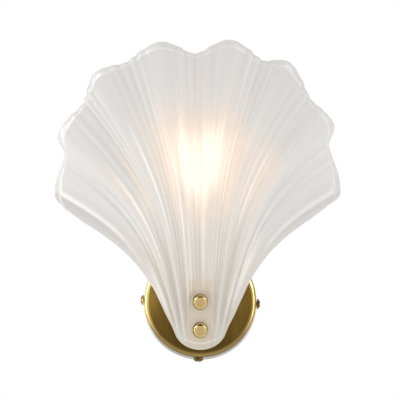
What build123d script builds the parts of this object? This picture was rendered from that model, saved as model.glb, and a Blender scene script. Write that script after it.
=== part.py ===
"""Shell wall sconce: a fluted scallop of frosted glass hung by two cap nuts in front of a round brass canopy,
with an upright E14 globe bulb behind it.

Frame: the wall is the plane Y = 0 and the sconce stands out from it towards -Y, +X to the right of someone
who faces the wall, +Z up. The origin is the centre of the canopy, on the wall. Millimetres.
"""
import os
from math import atan2, cos, degrees, hypot, pi, radians, sin, tan

from build123d import *

# ---- canopy: a spun brass cup, open towards the wall ----
CANOPY_R = 50.0            # at the front, where the side wall meets the rounded edge
CANOPY_FLARE = 1.2         # the side wall widens by this much down to the wall
CANOPY_DEPTH = 25.0
CANOPY_WALL = 1.2
CANOPY_EDGE_R = 4.2        # rounding of the polished front edge

# ---- wall plate inside the canopy ----
PLATE_SHORT = 10.0         # between the round plate's edge and the canopy's side
PLATE_R = CANOPY_R - PLATE_SHORT
PLATE_T = 1.5
WALL_SLOT_SPACING = 60.0   # between the two slots for the wall screws
WALL_SLOT_LENGTH = 12.0
WALL_SLOT_R = 2.5
CABLE_HOLE_R = 6.0
EAR_WIDTH = 12.0
EAR_HEIGHT = 17.0          # how far the turned ears stand out from the wall
EAR_SHORT = 0.3            # gap from the ears' corners to the canopy's inner wall
EAR_ANGLES = (-2.0, 178.0, 268.0)
SIDE_SCREW_OUT = 12.0      # height of the side screws above the wall

# ---- machine screws ----
M4_R = 2.0
THREAD_GAP = 0.05          # between a screw and the thread that it turns in
HOLE_GAP = 0.15            # between a screw and a plain hole
SIDE_HEAD_R = 4.6
SIDE_HEAD_T = 3.0
PAN_HEAD_R = 3.6
PAN_HEAD_T = 2.4
SEAT_GAP = 0.05            # under a flat head on a curved wall
HEAD_BRIM = 0.3            # straight part of a pan head's side
SLOT_WIDTH = 0.9
SLOT_DEPTH = 0.9

# ---- glass seat: where the two bolts clamp the shell's tail ----
SEAT_Z = -13.5             # midway between the bolts, on the front of the glass
SEAT_OUT = 50.2
SEAT_TILT = 19.5           # the tail leans out towards the top by this angle
BOLT_SPACING = 26.0
BOLT_R = 2.5
BOLT_SHORT = 1.0           # between a bolt's end and the floor of its cap nut's bore
GLASS_HOLE_R = 3.4
LAND_WIDTH = 21.0          # flat land pressed into the glass round the bolts
LAND_T = 5.6
LAND_OVERHANG = 9.5        # land beyond each bolt
LAND_CLEAR = 8.0           # nothing stands over the land, or over a pad's seat behind it
PAD_T = 1.0                # soft washer behind the glass
PAD_R = 7.0
FRONT_WASHER_T = 0.8
FRONT_WASHER_R = 6.2
CAP_NUT_R = 6.8
CAP_NUT_T = 8.2
CAP_NUT_FACE_R = 4.0       # flat face of the nut
CAP_NUT_BAND = 2.6         # straight band at the foot of the nut
CAP_NUT_BORE_DEPTH = 6.0
CAP_NUT_SHOULDER_IN = 0.9  # the shoulder's middle point: in from the band, and up as a share of its rise
CAP_NUT_SHOULDER_UP = 0.62
BOLT_HEAD_AF = 8.0
BOLT_HEAD_T = 3.5

# ---- steel strap behind the glass, bent into a J ----
STRAP_WIDTH = 20.0
STRAP_T = 2.0
STRAP_BEND_R = 3.0         # on the strap's centre line
STRAP_FOOT_TOP = 12.0      # top of the leg that lies on the canopy
STRAP_FOOT_LOW = -35.0
STRAP_LEG_ABOVE = 14.5     # front leg beyond the upper bolt
STRAP_SCREWS_Z = (-22.0, 4.0)

# ---- arm that carries the lampholder ----
ARM_WIDTH = 18.0
ARM_T = 2.0
ARM_FOOT_LOW = 17.0
ARM_SHELF_TOP = 42.0
ARM_BEND_R = 3.0
ARM_SCREWS_Z = (23.0, 33.0)
LAMP_OUT = 45.0            # distance of the bulb's axis from the wall

# ---- hollow threaded nipple, M10 x 1 ----
NIPPLE_R = 5.0
NIPPLE_BORE_R = 3.5
NIPPLE_BELOW = 6.0         # below the shelf
NIPPLE_ABOVE = 6.0         # above the shelf
NIPPLE_NUT_AF = 14.0
NIPPLE_NUT_T = 3.0

# ---- E14 lampholder ----
HOLDER_R = 13.0
HOLDER_TOP_R = 12.4
HOLDER_FOOT_ROUND = 3.0
HOLDER_LIP_ROUND = 1.0
HOLDER_BASE_H = 12.0
HOLDER_FLOOR_T = 3.0
HOLDER_WALL = 2.2
HOLDER_BODY_H = 42.0
HOLDER_WEB_LOW = 6.0       # underside of the web inside the body, above the body's foot
HOLDER_WEB_T = 4.0
SLEEVE_BORE_R = 7.0        # brass screw shell that the bulb turns in
SLEEVE_WALL = 0.5
SLEEVE_HEIGHT = 29.0
SLEEVE_GAP = 0.05
SPRING_RIVET_R = 1.6
SPRING_R = 3.4
SPRING_PLATE_R = 4.9
SPRING_GAP = 0.1           # from the sprung contact to the bulb's tip
SPRING_PLATE_T = 0.8

# ---- E14 globe bulb, 45 mm ----
BULB_R = 22.5
BULB_LENGTH = 78.0
BULB_TIP_ABOVE_WEB = 7.0
BULB_TIP_R = 2.4
BULB_TIP_H = 2.0
BULB_TIP_ROUND = 0.8
BULB_INSULATOR_H = 3.0
BULB_INSULATOR_R = 3.4     # at its lower end
BULB_CAP_R = 6.93
BULB_CAP_H = 21.0
BULB_CAP_FOOT_R = 5.6
BULB_CAP_DRAW_IN = 1.6     # height over which the cap's foot is drawn in
BULB_CAP_WALL = 0.5
BULB_WALL = 1.0
BULB_NECK_R = 7.6
BULB_NECK_H = 5.0
STEM_R = 2.2
STEM_FOOT_R = 5.5
STEM_DISC_T = 1.0
FILAMENT_R = 0.9
FILAMENT_RING_R = 6.0
FILAMENT_LENGTH = 24.0
FILAMENT_COUNT = 4

# ---- wiring ----
LEAD_R = 2.8
LEAD_BEND_R = 11.0
LEAD_TURN = 11.0           # height above the bush at which the lead leaves the bulb's axis
LEAD_RUN_IN = 16.0         # height above the canopy's face at which it turns in to the bush
SHEATH_INSIDE = 2.5        # sheath left on inside the bush
CORE_R = 1.1
CORE_BEND_R = 4.0
CORE_TURN_X = 8.0          # where the cores line up with their ways
CORE_PITCH = 2.6           # between the two cores where they leave the sheath
BUSH_X = 20.0              # bush where the lead goes into the canopy
BUSH_Z = 12.0
BUSH_HOLE_R = 4.5
BUSH_FLANGE_R = 6.5
BUSH_FLANGE_T = 1.5
BUSH_GAP = 0.05
LEAD_GAP = 0.15            # between the lead and what it passes through
ENTRY_FLANGE_R = 8.5
ENTRY_BORE_R = 4.0
BLOCK_X = -24.0            # terminal block on the wall plate
BLOCK_Z = 8.0
BLOCK_LENGTH = 20.0
BLOCK_DEPTH = 13.0
BLOCK_EDGE_R = 1.0
WAY_PITCH = 8.0
WAY_COUNT = 3
WAY_OUT = 6.5              # height of the barrels above the plate
BARREL_R = 2.4
BARREL_BORE_R = 1.5
BARREL_SHORT = 1.0         # barrel's end inside the block's end
TERMINAL_SCREW_R = 1.5
TERMINAL_SCREW_X = 5.0
TERMINAL_SCREW_SUNK = 1.0  # head below the block's top
SCREW_WELL_GAP = 0.3
CORE_INSERTION = 3.0
EARTH_X = 23.0
EARTH_Z = -20.0
EARTH_WASHER_R = 4.6
EARTH_WASHER_T = 1.0

# ---- glass shell ----
# The rim, seen from the front, in polar terms about a fan centre: degrees from straight up, reach in mm.
FAN_X = -2.0
FAN_Z = 105.0
LOBES = (
    (-93.5, 125.4), (-71.3, 128.4), (-44.8, 128.0), (-17.1, 121.4),
    (14.5, 121.7), (38.4, 128.3), (67.0, 128.3), (92.7, 124.8),
)
NOTCHES = (
    (-79.4, 120.6), (-56.4, 120.2), (-31.4, 117.4), (-1.4, 105.6),
    (28.9, 115.5), (54.6, 120.7), (75.4, 120.2),
)
LEFT_CORNER = (-102.0, 120.0)
RIGHT_CORNER = (102.0, 115.0)
HALF_LOBES = len(LOBES) / 2
TAIL_HALF_WIDTH = 24.2     # the tail's end is the lower part of an ellipse
TAIL_SIDE_Z = -22.0
TAIL_DROP = 22.0
TAIL_FAN = ((0.0, 0.0), (0.5, 19.0), (1.5, 31.0), (2.5, 43.0), (3.5, 57.0), (4.0, 66.0))
TAIL_SPLAY = 22.0          # degrees, the side edges where they leave the tail
TAIL_SPLAY_POWER = 1.4     # how the splay grows from the middle rib to the side edge
RIM_SPLAY_STEP = 19.5      # degrees that each lobe fans out from the last, at the rim
EDGE_SPLAY = 57.0          # degrees, the side edges where they meet the rim
EDGE_SPLAY_POWER = 6       # how late towards the side edge the fan is drawn in to it
TAIL_PULL = 0.5            # how long the ribs keep their first direction
RIM_PULL = 0.4
TAIL_OUT = 40.0            # front of the glass at the tail's end
RIM_OUT = 117.0            # and at the top of the rim
BELLY = 70.0               # swell of the profile between the two
TAIL_WRAP = 6.0            # how far the side edges turn back, at the tail and at the rim
RIM_WRAP = 85.0
WRAP_RUN_POWER = 1.2       # how the wrap grows along a rib, and from the middle rib to the side edge
WRAP_SIDE_POWER = 1.5
FLANGE_TURN = 5.0          # extra turn of the outermost half lobe
FLANGE_POWER = 1.3
FLANGE_RISE = 0.3          # share of the rib's length over which that turn grows
GLASS_WALL = 4.5
LOBE_RELIEF = 3.2
FLUTE_RELIEF = 1.1
FLUTE_START = 0.22         # distance from a lobe's crest, in lobe widths, where the fine flutes begin
FLUTES_PER_SIDE = 2
PLAIN_FLANGE = 0.75        # outermost lobe widths that have no fine flutes
FLUTE_SCALLOP = 0.9        # scallop of each flute along the rim
RELIEF_RISE = 0.16         # share of a rib's length over which the relief grows from the tail
FLUTE_RISE = 0.3           # and the fine flutes beyond it
RIB_STATIONS = 11

WALL = Plane.XZ            # local x is +X, local y is +Z, local z stands out from the wall
PARTS = "parts"


def at(x, z, out):
    """A place on the sconce: across, up, and out from the wall."""
    return WALL * Pos(x, z, out)


def upright(x, z, out):
    """The same place with the local z axis pointing up."""
    return Pos(x, -out, z)


SEAT = at(0, SEAT_Z, SEAT_OUT) * Rot(X=SEAT_TILT)
BOLT_PLACES = (BOLT_SPACING / 2, -BOLT_SPACING / 2)
STRAP_FRONT = -LAND_T - PAD_T
STRAP_BACK = STRAP_FRONT - STRAP_T
CANOPY_INSIDE = CANOPY_DEPTH - CANOPY_WALL


def canopy_radius(out):
    """Outer radius of the canopy's side wall at a height above the wall."""
    straight = CANOPY_DEPTH - CANOPY_EDGE_R
    return CANOPY_R + CANOPY_FLARE * (straight - out) / straight


# ---------------------------------------------------------------- glass shell
def interpolate(x, knots):
    """Straight-line interpolation through (x, value) knots."""
    for (x0, v0), (x1, v1) in zip(knots, knots[1:]):
        if x <= x1:
            return v0 + (v1 - v0) * (x - x0) / (x1 - x0)
    return knots[-1][1]


def rim_knots():
    """Crests, notches and the two corners of the rim, against the rib number q."""
    knots = [(-HALF_LOBES, *LEFT_CORNER)]
    for i, lobe in enumerate(LOBES):
        knots.append((-HALF_LOBES + 0.5 + i, *lobe))
        if i < len(NOTCHES):
            knots.append((-HALF_LOBES + 1 + i, *NOTCHES[i]))
    knots.append((HALF_LOBES, *RIGHT_CORNER))
    return knots


RIM = rim_knots()


def off_crest(q):
    """Distance of rib q from the nearest lobe crest, 0 to 0.5 lobe widths."""
    return abs(q % 1.0 - 0.5)


def flute(q):
    """0 on the creases between fine flutes and on the lobes, 1 along the crown of a flute."""
    run = off_crest(q) - FLUTE_START
    if run <= 0 or abs(q) > HALF_LOBES - PLAIN_FLANGE:
        return 0.0
    width = (0.5 - FLUTE_START) / FLUTES_PER_SIDE
    return abs(sin(pi * run / width))


def rim_point(q):
    """Where rib q ends on the rim, seen from the front."""
    angle = interpolate(q, [(k, a) for k, a, _ in RIM])
    for (q0, _, r0), (q1, _, r1) in zip(RIM, RIM[1:]):
        if q <= q1:
            break
    swell = (1 - cos(pi * (q - q0) / (q1 - q0))) / 2
    reach = r0 + (r1 - r0) * swell + FLUTE_SCALLOP * flute(q)
    return FAN_X + reach * sin(radians(angle)), FAN_Z + reach * cos(radians(angle))


def tail_point(q):
    """Where rib q starts on the rounded tail, seen from the front."""
    turn = radians(interpolate(abs(q), TAIL_FAN))
    side = 1 if q >= 0 else -1
    return side * TAIL_HALF_WIDTH * sin(turn), TAIL_SIDE_Z - TAIL_DROP * cos(turn)


def rib_plan(q, s):
    """Rib q seen from the front: a Bezier curve from the tail (s = 0) to the rim (s = 1)."""
    tail_x, tail_z = tail_point(q)
    rim_x, rim_z = rim_point(q)
    length = hypot(rim_x - tail_x, rim_z - tail_z)
    side = 1 if q >= 0 else -1
    share = abs(q) / HALF_LOBES
    leave = radians(TAIL_SPLAY * share ** TAIL_SPLAY_POWER) * side
    edge_excess = RIM_SPLAY_STEP * HALF_LOBES - EDGE_SPLAY
    arrive = radians(RIM_SPLAY_STEP * abs(q) - edge_excess * share ** EDGE_SPLAY_POWER) * side
    pull = (tail_x + TAIL_PULL * length * sin(leave), tail_z + TAIL_PULL * length * cos(leave))
    push = (rim_x - RIM_PULL * length * sin(arrive), rim_z - RIM_PULL * length * cos(arrive))
    weights = ((1 - s) ** 3, 3 * s * (1 - s) ** 2, 3 * s * s * (1 - s), s ** 3)
    places = ((tail_x, tail_z), pull, push, (rim_x, rim_z))
    return (
        sum(w * p[0] for w, p in zip(weights, places)),
        sum(w * p[1] for w, p in zip(weights, places)),
    )


def travel(s):
    """Share of its length that a straight rib has covered at s."""
    return 3 * TAIL_PULL * s * (1 - s) ** 2 + 3 * (1 - RIM_PULL) * s * s * (1 - s) + s ** 3


def eased(t):
    """Smooth step from 0 to 1 as t goes from 0 to 1, level beyond."""
    t = min(1.0, max(0.0, t))
    return t * t * (3 - 2 * t)


def sheet_point(q, s):
    """The smooth sheet under the ribs: it rises from the tail and its sides turn back to the wall."""
    x, z = rib_plan(q, s)
    share = abs(q) / HALF_LOBES
    run = travel(s)
    lean = (tail_point(q)[1] - tail_point(0)[1]) * tan(radians(SEAT_TILT))
    out = TAIL_OUT + lean * (1 - run) ** 2 + (RIM_OUT - TAIL_OUT) * run + BELLY * run * run * (1 - run)
    wrap = TAIL_WRAP + (RIM_WRAP - TAIL_WRAP) * run ** WRAP_RUN_POWER
    flange = max(0.0, abs(q) - (HALF_LOBES - 0.5)) / 0.5
    turn = FLANGE_TURN * flange ** FLANGE_POWER * eased(run / FLANGE_RISE)
    out -= wrap * share ** WRAP_SIDE_POWER + turn
    return Vector(x, -out, z)


def sheet_normal(q, s):
    """Unit normal of the sheet, away from the wall."""
    step = 0.01
    q0, q1 = max(q - step, -HALF_LOBES), min(q + step, HALF_LOBES)
    s0, s1 = max(s - step, 0.0), min(s + step, 1.0)
    across = sheet_point(q1, s) - sheet_point(q0, s)
    along = sheet_point(q, s1) - sheet_point(q, s0)
    return across.cross(along).normalized()


def relief(q, s):
    """Height of the lobes and flutes over the sheet."""
    run = travel(s)
    grow = eased(run / RELIEF_RISE)
    lobe = (1 + cos(2 * pi * off_crest(q))) / 2
    fine = eased((run - RELIEF_RISE) / FLUTE_RISE)
    return LOBE_RELIEF * lobe * grow + FLUTE_RELIEF * flute(q) * fine


def rib_numbers():
    """The ribs that bound the glass's faces: over each lobe, and the crease and crown of each flute."""
    width = (0.5 - FLUTE_START) / FLUTES_PER_SIDE
    rising = [FLUTE_START / 2] + [FLUTE_START + width * k / 2 for k in range(2 * FLUTES_PER_SIDE)]
    falling = [-0.5] + [-offset for offset in reversed(rising)]
    crests = [-HALF_LOBES + 0.5 + i for i in range(len(LOBES))]
    return [crest + offset for crest in crests for offset in falling + [0.0] + rising] + [HALF_LOBES]


def rib_edge(q, depth):
    """Spline along rib q, on the front of the glass or a wall's thickness behind it."""
    points = []
    for k in range(RIB_STATIONS):
        s = k / (RIB_STATIONS - 1)
        points.append(sheet_point(q, s) + sheet_normal(q, s) * (relief(q, s) - depth))
    return Spline(*points).edge()


def glass_sheet():
    """The fluted shell: ruled strips between neighbouring ribs, front and back, closed round the edge."""
    ribs = rib_numbers()
    front = [rib_edge(q, 0) for q in ribs]
    back = [rib_edge(q, GLASS_WALL) for q in ribs]
    faces = []
    for rows in (front, back):
        faces += [Face.make_surface_from_curves(a, b) for a, b in zip(rows, rows[1:])]
    for end in (0, 1):
        for i in range(len(ribs) - 1):
            near = Edge.make_line(front[i] @ end, front[i + 1] @ end)
            far = Edge.make_line(back[i] @ end, back[i + 1] @ end)
            faces.append(Face.make_surface_from_curves(near, far))
    for i in (0, -1):
        faces.append(Face.make_surface_from_curves(front[i], back[i]))
    return Solid(Shell(faces))


def glass_shell():
    """The shell with the flat land round its two bolts, and a flat seat behind it for each pad."""
    outline = Sketch() + SlotOverall(BOLT_SPACING + 2 * LAND_OVERHANG, LAND_WIDTH, rotation=90)
    glass = glass_sheet() + SEAT * extrude(outline, -LAND_T) - SEAT * extrude(outline, LAND_CLEAR)
    for y in BOLT_PLACES:
        glass -= SEAT * Pos(0, y, 0) * Cylinder(GLASS_HOLE_R, 8 * GLASS_WALL)
    for y in BOLT_PLACES:
        glass -= SEAT * Pos(0, y, -LAND_T - LAND_CLEAR / 2) * Cylinder(PAD_R + HOLE_GAP, LAND_CLEAR)
    return glass


# ---------------------------------------------------------------- canopy and wall plate
def canopy():
    """Spun cup: straight flared side, rounded front edge, flat face."""
    straight = CANOPY_DEPTH - CANOPY_EDGE_R
    inner_r = CANOPY_EDGE_R - CANOPY_WALL
    wide = canopy_radius(0)
    outside = Polyline((0, CANOPY_DEPTH), (CANOPY_R - CANOPY_EDGE_R, CANOPY_DEPTH))
    edge = CenterArc((CANOPY_R - CANOPY_EDGE_R, straight), CANOPY_EDGE_R, 90, -90)
    side = Polyline(
        (CANOPY_R, straight), (wide, 0), (wide - CANOPY_WALL, 0), (CANOPY_R - CANOPY_WALL, straight)
    )
    inner_edge = CenterArc((CANOPY_R - CANOPY_EDGE_R, straight), inner_r, 0, 90)
    inside = Polyline((CANOPY_R - CANOPY_EDGE_R, CANOPY_INSIDE), (0, CANOPY_INSIDE), (0, CANOPY_DEPTH))
    profile = make_face([*outside.edges(), edge.edge(), *side.edges(), inner_edge.edge(), *inside.edges()])
    cup = WALL * revolve(Plane.XZ * profile, Axis.Z)
    for angle in EAR_ANGLES:
        cup -= side_axis(angle) * Cylinder(M4_R + HOLE_GAP, 4 * CANOPY_WALL)
    for z in STRAP_SCREWS_Z + ARM_SCREWS_Z:
        cup -= at(0, z, CANOPY_DEPTH) * Cylinder(M4_R + HOLE_GAP, 4 * CANOPY_WALL)
    cup -= at(BUSH_X, BUSH_Z, CANOPY_DEPTH) * Cylinder(BUSH_HOLE_R, 4 * CANOPY_WALL)
    return cup


def side_axis(angle):
    """Place on the canopy's side wall at a side screw, local z pointing away from the centre."""
    radius = canopy_radius(SIDE_SCREW_OUT)
    return at(0, 0, SIDE_SCREW_OUT) * Rot(Z=angle) * Pos(radius, 0, 0) * Rot(Y=90)


def ear_reach():
    """Flat outer face of an ear: its corners clear the canopy's round inner wall."""
    bore = canopy_radius(EAR_HEIGHT) - CANOPY_WALL - EAR_SHORT
    return (bore ** 2 - (EAR_WIDTH / 2) ** 2) ** 0.5


def wall_plate():
    """Round steel plate with two slots for wall screws and three ears turned out for the side screws."""
    reach = ear_reach()
    plate = Pos(0, 0, PLATE_T / 2) * Cylinder(PLATE_R, PLATE_T)
    for angle in EAR_ANGLES:
        tongue = Pos(reach / 2, 0, PLATE_T / 2) * Box(reach, EAR_WIDTH, PLATE_T)
        upright_ear = Pos(reach - PLATE_T / 2, 0, EAR_HEIGHT / 2) * Box(PLATE_T, EAR_WIDTH, EAR_HEIGHT)
        ear = tongue + upright_ear
        hole = Pos(reach, 0, SIDE_SCREW_OUT) * Rot(Y=90) * Cylinder(M4_R + THREAD_GAP, 4 * PLATE_T)
        plate += Rot(Z=angle) * (ear - hole)
    for z in (-WALL_SLOT_SPACING / 2, WALL_SLOT_SPACING / 2):
        slot = SlotOverall(WALL_SLOT_LENGTH, 2 * WALL_SLOT_R, rotation=90)
        plate -= Pos(0, z, 0) * extrude(Sketch() + slot, 2 * PLATE_T)
    plate -= Cylinder(CABLE_HOLE_R, 4 * PLATE_T)
    plate -= Pos(EARTH_X, EARTH_Z, 0) * Cylinder(M4_R + THREAD_GAP, 4 * PLATE_T)
    return WALL * plate


def domed_head(radius, height):
    """Pan head, flat side down on the local origin, dome up."""
    brim = HEAD_BRIM * height
    rise = height - brim
    crown_r = (radius ** 2 + rise ** 2) / (2 * rise)
    sag = crown_r - (crown_r ** 2 - radius ** 2 / 4) ** 0.5
    outline = Polyline((0, height), (0, 0), (radius, 0), (radius, brim))
    crown = ThreePointArc((radius, brim), (radius / 2, height - sag), (0, height))
    head = revolve(Plane.XZ * make_face([*outline.edges(), crown.edge()]), Axis.Z)
    return head - Pos(0, 0, height) * Box(2 * radius, SLOT_WIDTH, 2 * SLOT_DEPTH)


def screw(radius, length, head_radius, head_height):
    """Machine screw with its head's underside at the local origin and its shank below."""
    return domed_head(head_radius, head_height) + Pos(0, 0, -length / 2) * Cylinder(radius, length)


def side_screws():
    """Three pan-head screws through the canopy's side into the ears."""
    stand_off = (canopy_radius(SIDE_SCREW_OUT - SIDE_HEAD_R) - canopy_radius(SIDE_SCREW_OUT)) + SEAT_GAP
    length = canopy_radius(SIDE_SCREW_OUT) - ear_reach() + 2 * PLATE_T
    place = Pos(0, 0, stand_off)
    return [
        side_axis(angle) * place * screw(M4_R, length + stand_off, SIDE_HEAD_R, SIDE_HEAD_T)
        for angle in EAR_ANGLES
    ]


def entry_bush():
    """Snap-in bush that lines the cable hole in the wall plate."""
    body = Pos(0, 0, PLATE_T / 2) * Cylinder(CABLE_HOLE_R - BUSH_GAP, PLATE_T)
    flange = Pos(0, 0, PLATE_T + BUSH_FLANGE_T / 2) * Cylinder(ENTRY_FLANGE_R, BUSH_FLANGE_T)
    return WALL * (body + flange - Cylinder(ENTRY_BORE_R, 8 * PLATE_T))


def earth_screw():
    """Earth screw with its cup washer's seat on the wall plate."""
    head = EARTH_WASHER_T + PLATE_T
    return at(EARTH_X, EARTH_Z, head) * screw(M4_R, head, PAN_HEAD_R, PAN_HEAD_T)


def earth_washer():
    """Washer under the earth screw's head."""
    ring = Cylinder(EARTH_WASHER_R, EARTH_WASHER_T) - Cylinder(M4_R + HOLE_GAP, 2 * EARTH_WASHER_T)
    return at(EARTH_X, EARTH_Z, PLATE_T + EARTH_WASHER_T / 2) * ring


# ---------------------------------------------------------------- glass fixings
def strap_line():
    """Centre line of the J strap in its side view: along x up, along y out from the wall."""
    foot = CANOPY_DEPTH + STRAP_T / 2
    tilt = radians(SEAT_TILT)
    behind = STRAP_FRONT - STRAP_T / 2

    def on_leg(y):
        return (
            SEAT_Z + y * cos(tilt) - behind * sin(tilt),
            SEAT_OUT + y * sin(tilt) + behind * cos(tilt),
        )

    top = on_leg(BOLT_SPACING / 2 + STRAP_LEG_ABOVE)
    low = on_leg((STRAP_FOOT_LOW - SEAT_Z + behind * sin(tilt)) / cos(tilt))
    return FilletPolyline((STRAP_FOOT_TOP, foot), (STRAP_FOOT_LOW, foot), low, top, radius=STRAP_BEND_R)


def glass_strap():
    """Bent steel strap: one leg flat on the canopy, the other behind the glass."""
    side_view = trace(strap_line(), STRAP_T)
    swing = Plane(origin=(0, 0, 0), x_dir=(0, 0, 1), z_dir=(1, 0, 0))
    strap = swing * extrude(side_view, STRAP_WIDTH / 2, both=True)
    for y in BOLT_PLACES:
        strap -= SEAT * Pos(0, y, STRAP_FRONT) * Cylinder(BOLT_R + HOLE_GAP, 4 * STRAP_T)
    for z in STRAP_SCREWS_Z:
        strap -= at(0, z, CANOPY_DEPTH + STRAP_T / 2) * Cylinder(M4_R + THREAD_GAP, 2 * STRAP_T)
    return strap


def face_screws(places):
    """Screws put in from inside the canopy, into the tapped strap or arm on its face."""
    length = CANOPY_WALL + STRAP_T
    return [
        at(0, z, CANOPY_INSIDE) * Rot(X=180) * screw(M4_R, length, PAN_HEAD_R, PAN_HEAD_T)
        for z in places
    ]


def glass_bolts():
    """Two bolts with their heads behind the strap; the cap nuts close on their ends."""
    length = -STRAP_BACK + FRONT_WASHER_T + CAP_NUT_BORE_DEPTH - BOLT_SHORT
    bolts = []
    for y in BOLT_PLACES:
        head = extrude(Sketch() + RegularPolygon(BOLT_HEAD_AF / 2, 6, major_radius=False), -BOLT_HEAD_T)
        shank = Pos(0, 0, length / 2) * Cylinder(BOLT_R, length)
        bolts.append(SEAT * Pos(0, y, STRAP_BACK) * (head + shank))
    return bolts


def ring(radius, bore, height):
    """Flat washer standing on the local origin."""
    return Pos(0, 0, height / 2) * (Cylinder(radius, height) - Cylinder(bore, 2 * height))


def rear_pads():
    """Soft washers between the strap and the glass."""
    pad = ring(PAD_R, BOLT_R + HOLE_GAP, PAD_T)
    return [SEAT * Pos(0, y, STRAP_FRONT) * pad for y in BOLT_PLACES]


def hole_sleeves():
    """Soft sleeves that keep the bolts off the glass in its two holes."""
    sleeve = ring(GLASS_HOLE_R - HOLE_GAP, BOLT_R + HOLE_GAP, LAND_T)
    return [SEAT * Pos(0, y, -LAND_T) * sleeve for y in BOLT_PLACES]


def front_washers():
    """Clear washers between the glass and the cap nuts."""
    washer = ring(FRONT_WASHER_R, BOLT_R + HOLE_GAP, FRONT_WASHER_T)
    return [SEAT * Pos(0, y, 0) * washer for y in BOLT_PLACES]


def cap_nut(y):
    """Round brass cap nut: straight band, rounded shoulder, flat face, blind thread."""
    band_top = (CAP_NUT_R, CAP_NUT_BAND)
    face_edge = (CAP_NUT_FACE_R, CAP_NUT_T)
    bulge_out = CAP_NUT_BAND + CAP_NUT_SHOULDER_UP * (CAP_NUT_T - CAP_NUT_BAND)
    shoulder = ThreePointArc(band_top, (CAP_NUT_R - CAP_NUT_SHOULDER_IN, bulge_out), face_edge)
    outline = Polyline(face_edge, (0, CAP_NUT_T), (0, 0), (CAP_NUT_R, 0), band_top)
    nut = revolve(Plane.XZ * make_face([*outline.edges(), shoulder.edge()]), Axis.Z)
    nut -= Pos(0, 0, CAP_NUT_BORE_DEPTH / 2) * Cylinder(BOLT_R + THREAD_GAP, CAP_NUT_BORE_DEPTH)
    return SEAT * Pos(0, y, FRONT_WASHER_T) * nut


# ---------------------------------------------------------------- lampholder and its arm
HOLDER_FOOT = ARM_SHELF_TOP
BODY_FOOT = HOLDER_FOOT + HOLDER_BASE_H
WEB_TOP = BODY_FOOT + HOLDER_WEB_LOW + HOLDER_WEB_T
TIP_Z = WEB_TOP + BULB_TIP_ABOVE_WEB


def lamp_arm():
    """Bent steel arm: a foot on the canopy's face and a shelf under the lampholder."""
    foot = CANOPY_DEPTH + ARM_T / 2
    shelf = ARM_SHELF_TOP - ARM_T / 2
    line = FilletPolyline((ARM_FOOT_LOW, foot), (shelf, foot), (shelf, LAMP_OUT), radius=ARM_BEND_R)
    swing = Plane(origin=(0, 0, 0), x_dir=(0, 0, 1), z_dir=(1, 0, 0))
    arm = swing * extrude(trace(line, ARM_T), ARM_WIDTH / 2, both=True)
    arm += upright(0, shelf, LAMP_OUT) * Cylinder(ARM_WIDTH / 2, ARM_T)
    arm -= upright(0, shelf, LAMP_OUT) * Cylinder(NIPPLE_R + HOLE_GAP, 2 * ARM_T)
    for z in ARM_SCREWS_Z:
        arm -= at(0, z, foot) * Cylinder(M4_R + THREAD_GAP, 2 * ARM_T)
    return arm


def on_lamp_axis(z, solid):
    """Stand a solid on the bulb's axis at a height."""
    return upright(0, z, LAMP_OUT) * solid


def nipple():
    """Hollow threaded tube that ties the lampholder to the arm and lets the lead through."""
    low = ARM_SHELF_TOP - ARM_T - NIPPLE_BELOW
    return on_lamp_axis(low, ring(NIPPLE_R, NIPPLE_BORE_R, NIPPLE_BELOW + ARM_T + NIPPLE_ABOVE))


def nipple_nut():
    """Hexagon nut under the shelf."""
    hexagon = RegularPolygon(NIPPLE_NUT_AF / 2, 6, major_radius=False) - Circle(NIPPLE_R + THREAD_GAP)
    return on_lamp_axis(ARM_SHELF_TOP - ARM_T - NIPPLE_NUT_T, extrude(hexagon, NIPPLE_NUT_T))


def holder_base():
    """Lower half of the lampholder: a cup that screws onto the nipple."""
    cup = Pos(0, 0, HOLDER_BASE_H / 2) * Cylinder(HOLDER_R, HOLDER_BASE_H)
    cup = fillet(cup.edges().group_by(Axis.Z)[0], HOLDER_FOOT_ROUND)
    hollow = HOLDER_BASE_H - HOLDER_FLOOR_T
    cup -= Pos(0, 0, HOLDER_FLOOR_T + hollow / 2) * Cylinder(HOLDER_R - HOLDER_WALL, hollow)
    cup -= Cylinder(NIPPLE_R + THREAD_GAP, 4 * HOLDER_FLOOR_T)
    return on_lamp_axis(HOLDER_FOOT, cup)


def holder_body():
    """Upper half of the lampholder: tapered tube with a web across it that carries the contacts."""
    sleeve_r = SLEEVE_BORE_R + SLEEVE_WALL + SLEEVE_GAP
    web_top = HOLDER_WEB_LOW + HOLDER_WEB_T
    outline = Polyline(
        (SPRING_RIVET_R + THREAD_GAP, HOLDER_WEB_LOW),
        (HOLDER_R - HOLDER_WALL, HOLDER_WEB_LOW),
        (HOLDER_R - HOLDER_WALL, 0),
        (HOLDER_R, 0),
        (HOLDER_TOP_R, HOLDER_BODY_H),
        (sleeve_r, HOLDER_BODY_H),
        (sleeve_r, web_top),
        (SPRING_RIVET_R + THREAD_GAP, web_top),
        close=True,
    )
    body = revolve(Plane.XZ * make_face(outline.edges()), Axis.Z)
    body = fillet(body.edges().filter_by(GeomType.CIRCLE).sort_by(Axis.Z)[-1:], HOLDER_LIP_ROUND)
    return on_lamp_axis(BODY_FOOT, body)


def screw_sleeve():
    """Brass screw shell inside the lampholder."""
    return on_lamp_axis(WEB_TOP, ring(SLEEVE_BORE_R + SLEEVE_WALL, SLEEVE_BORE_R, SLEEVE_HEIGHT))


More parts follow.
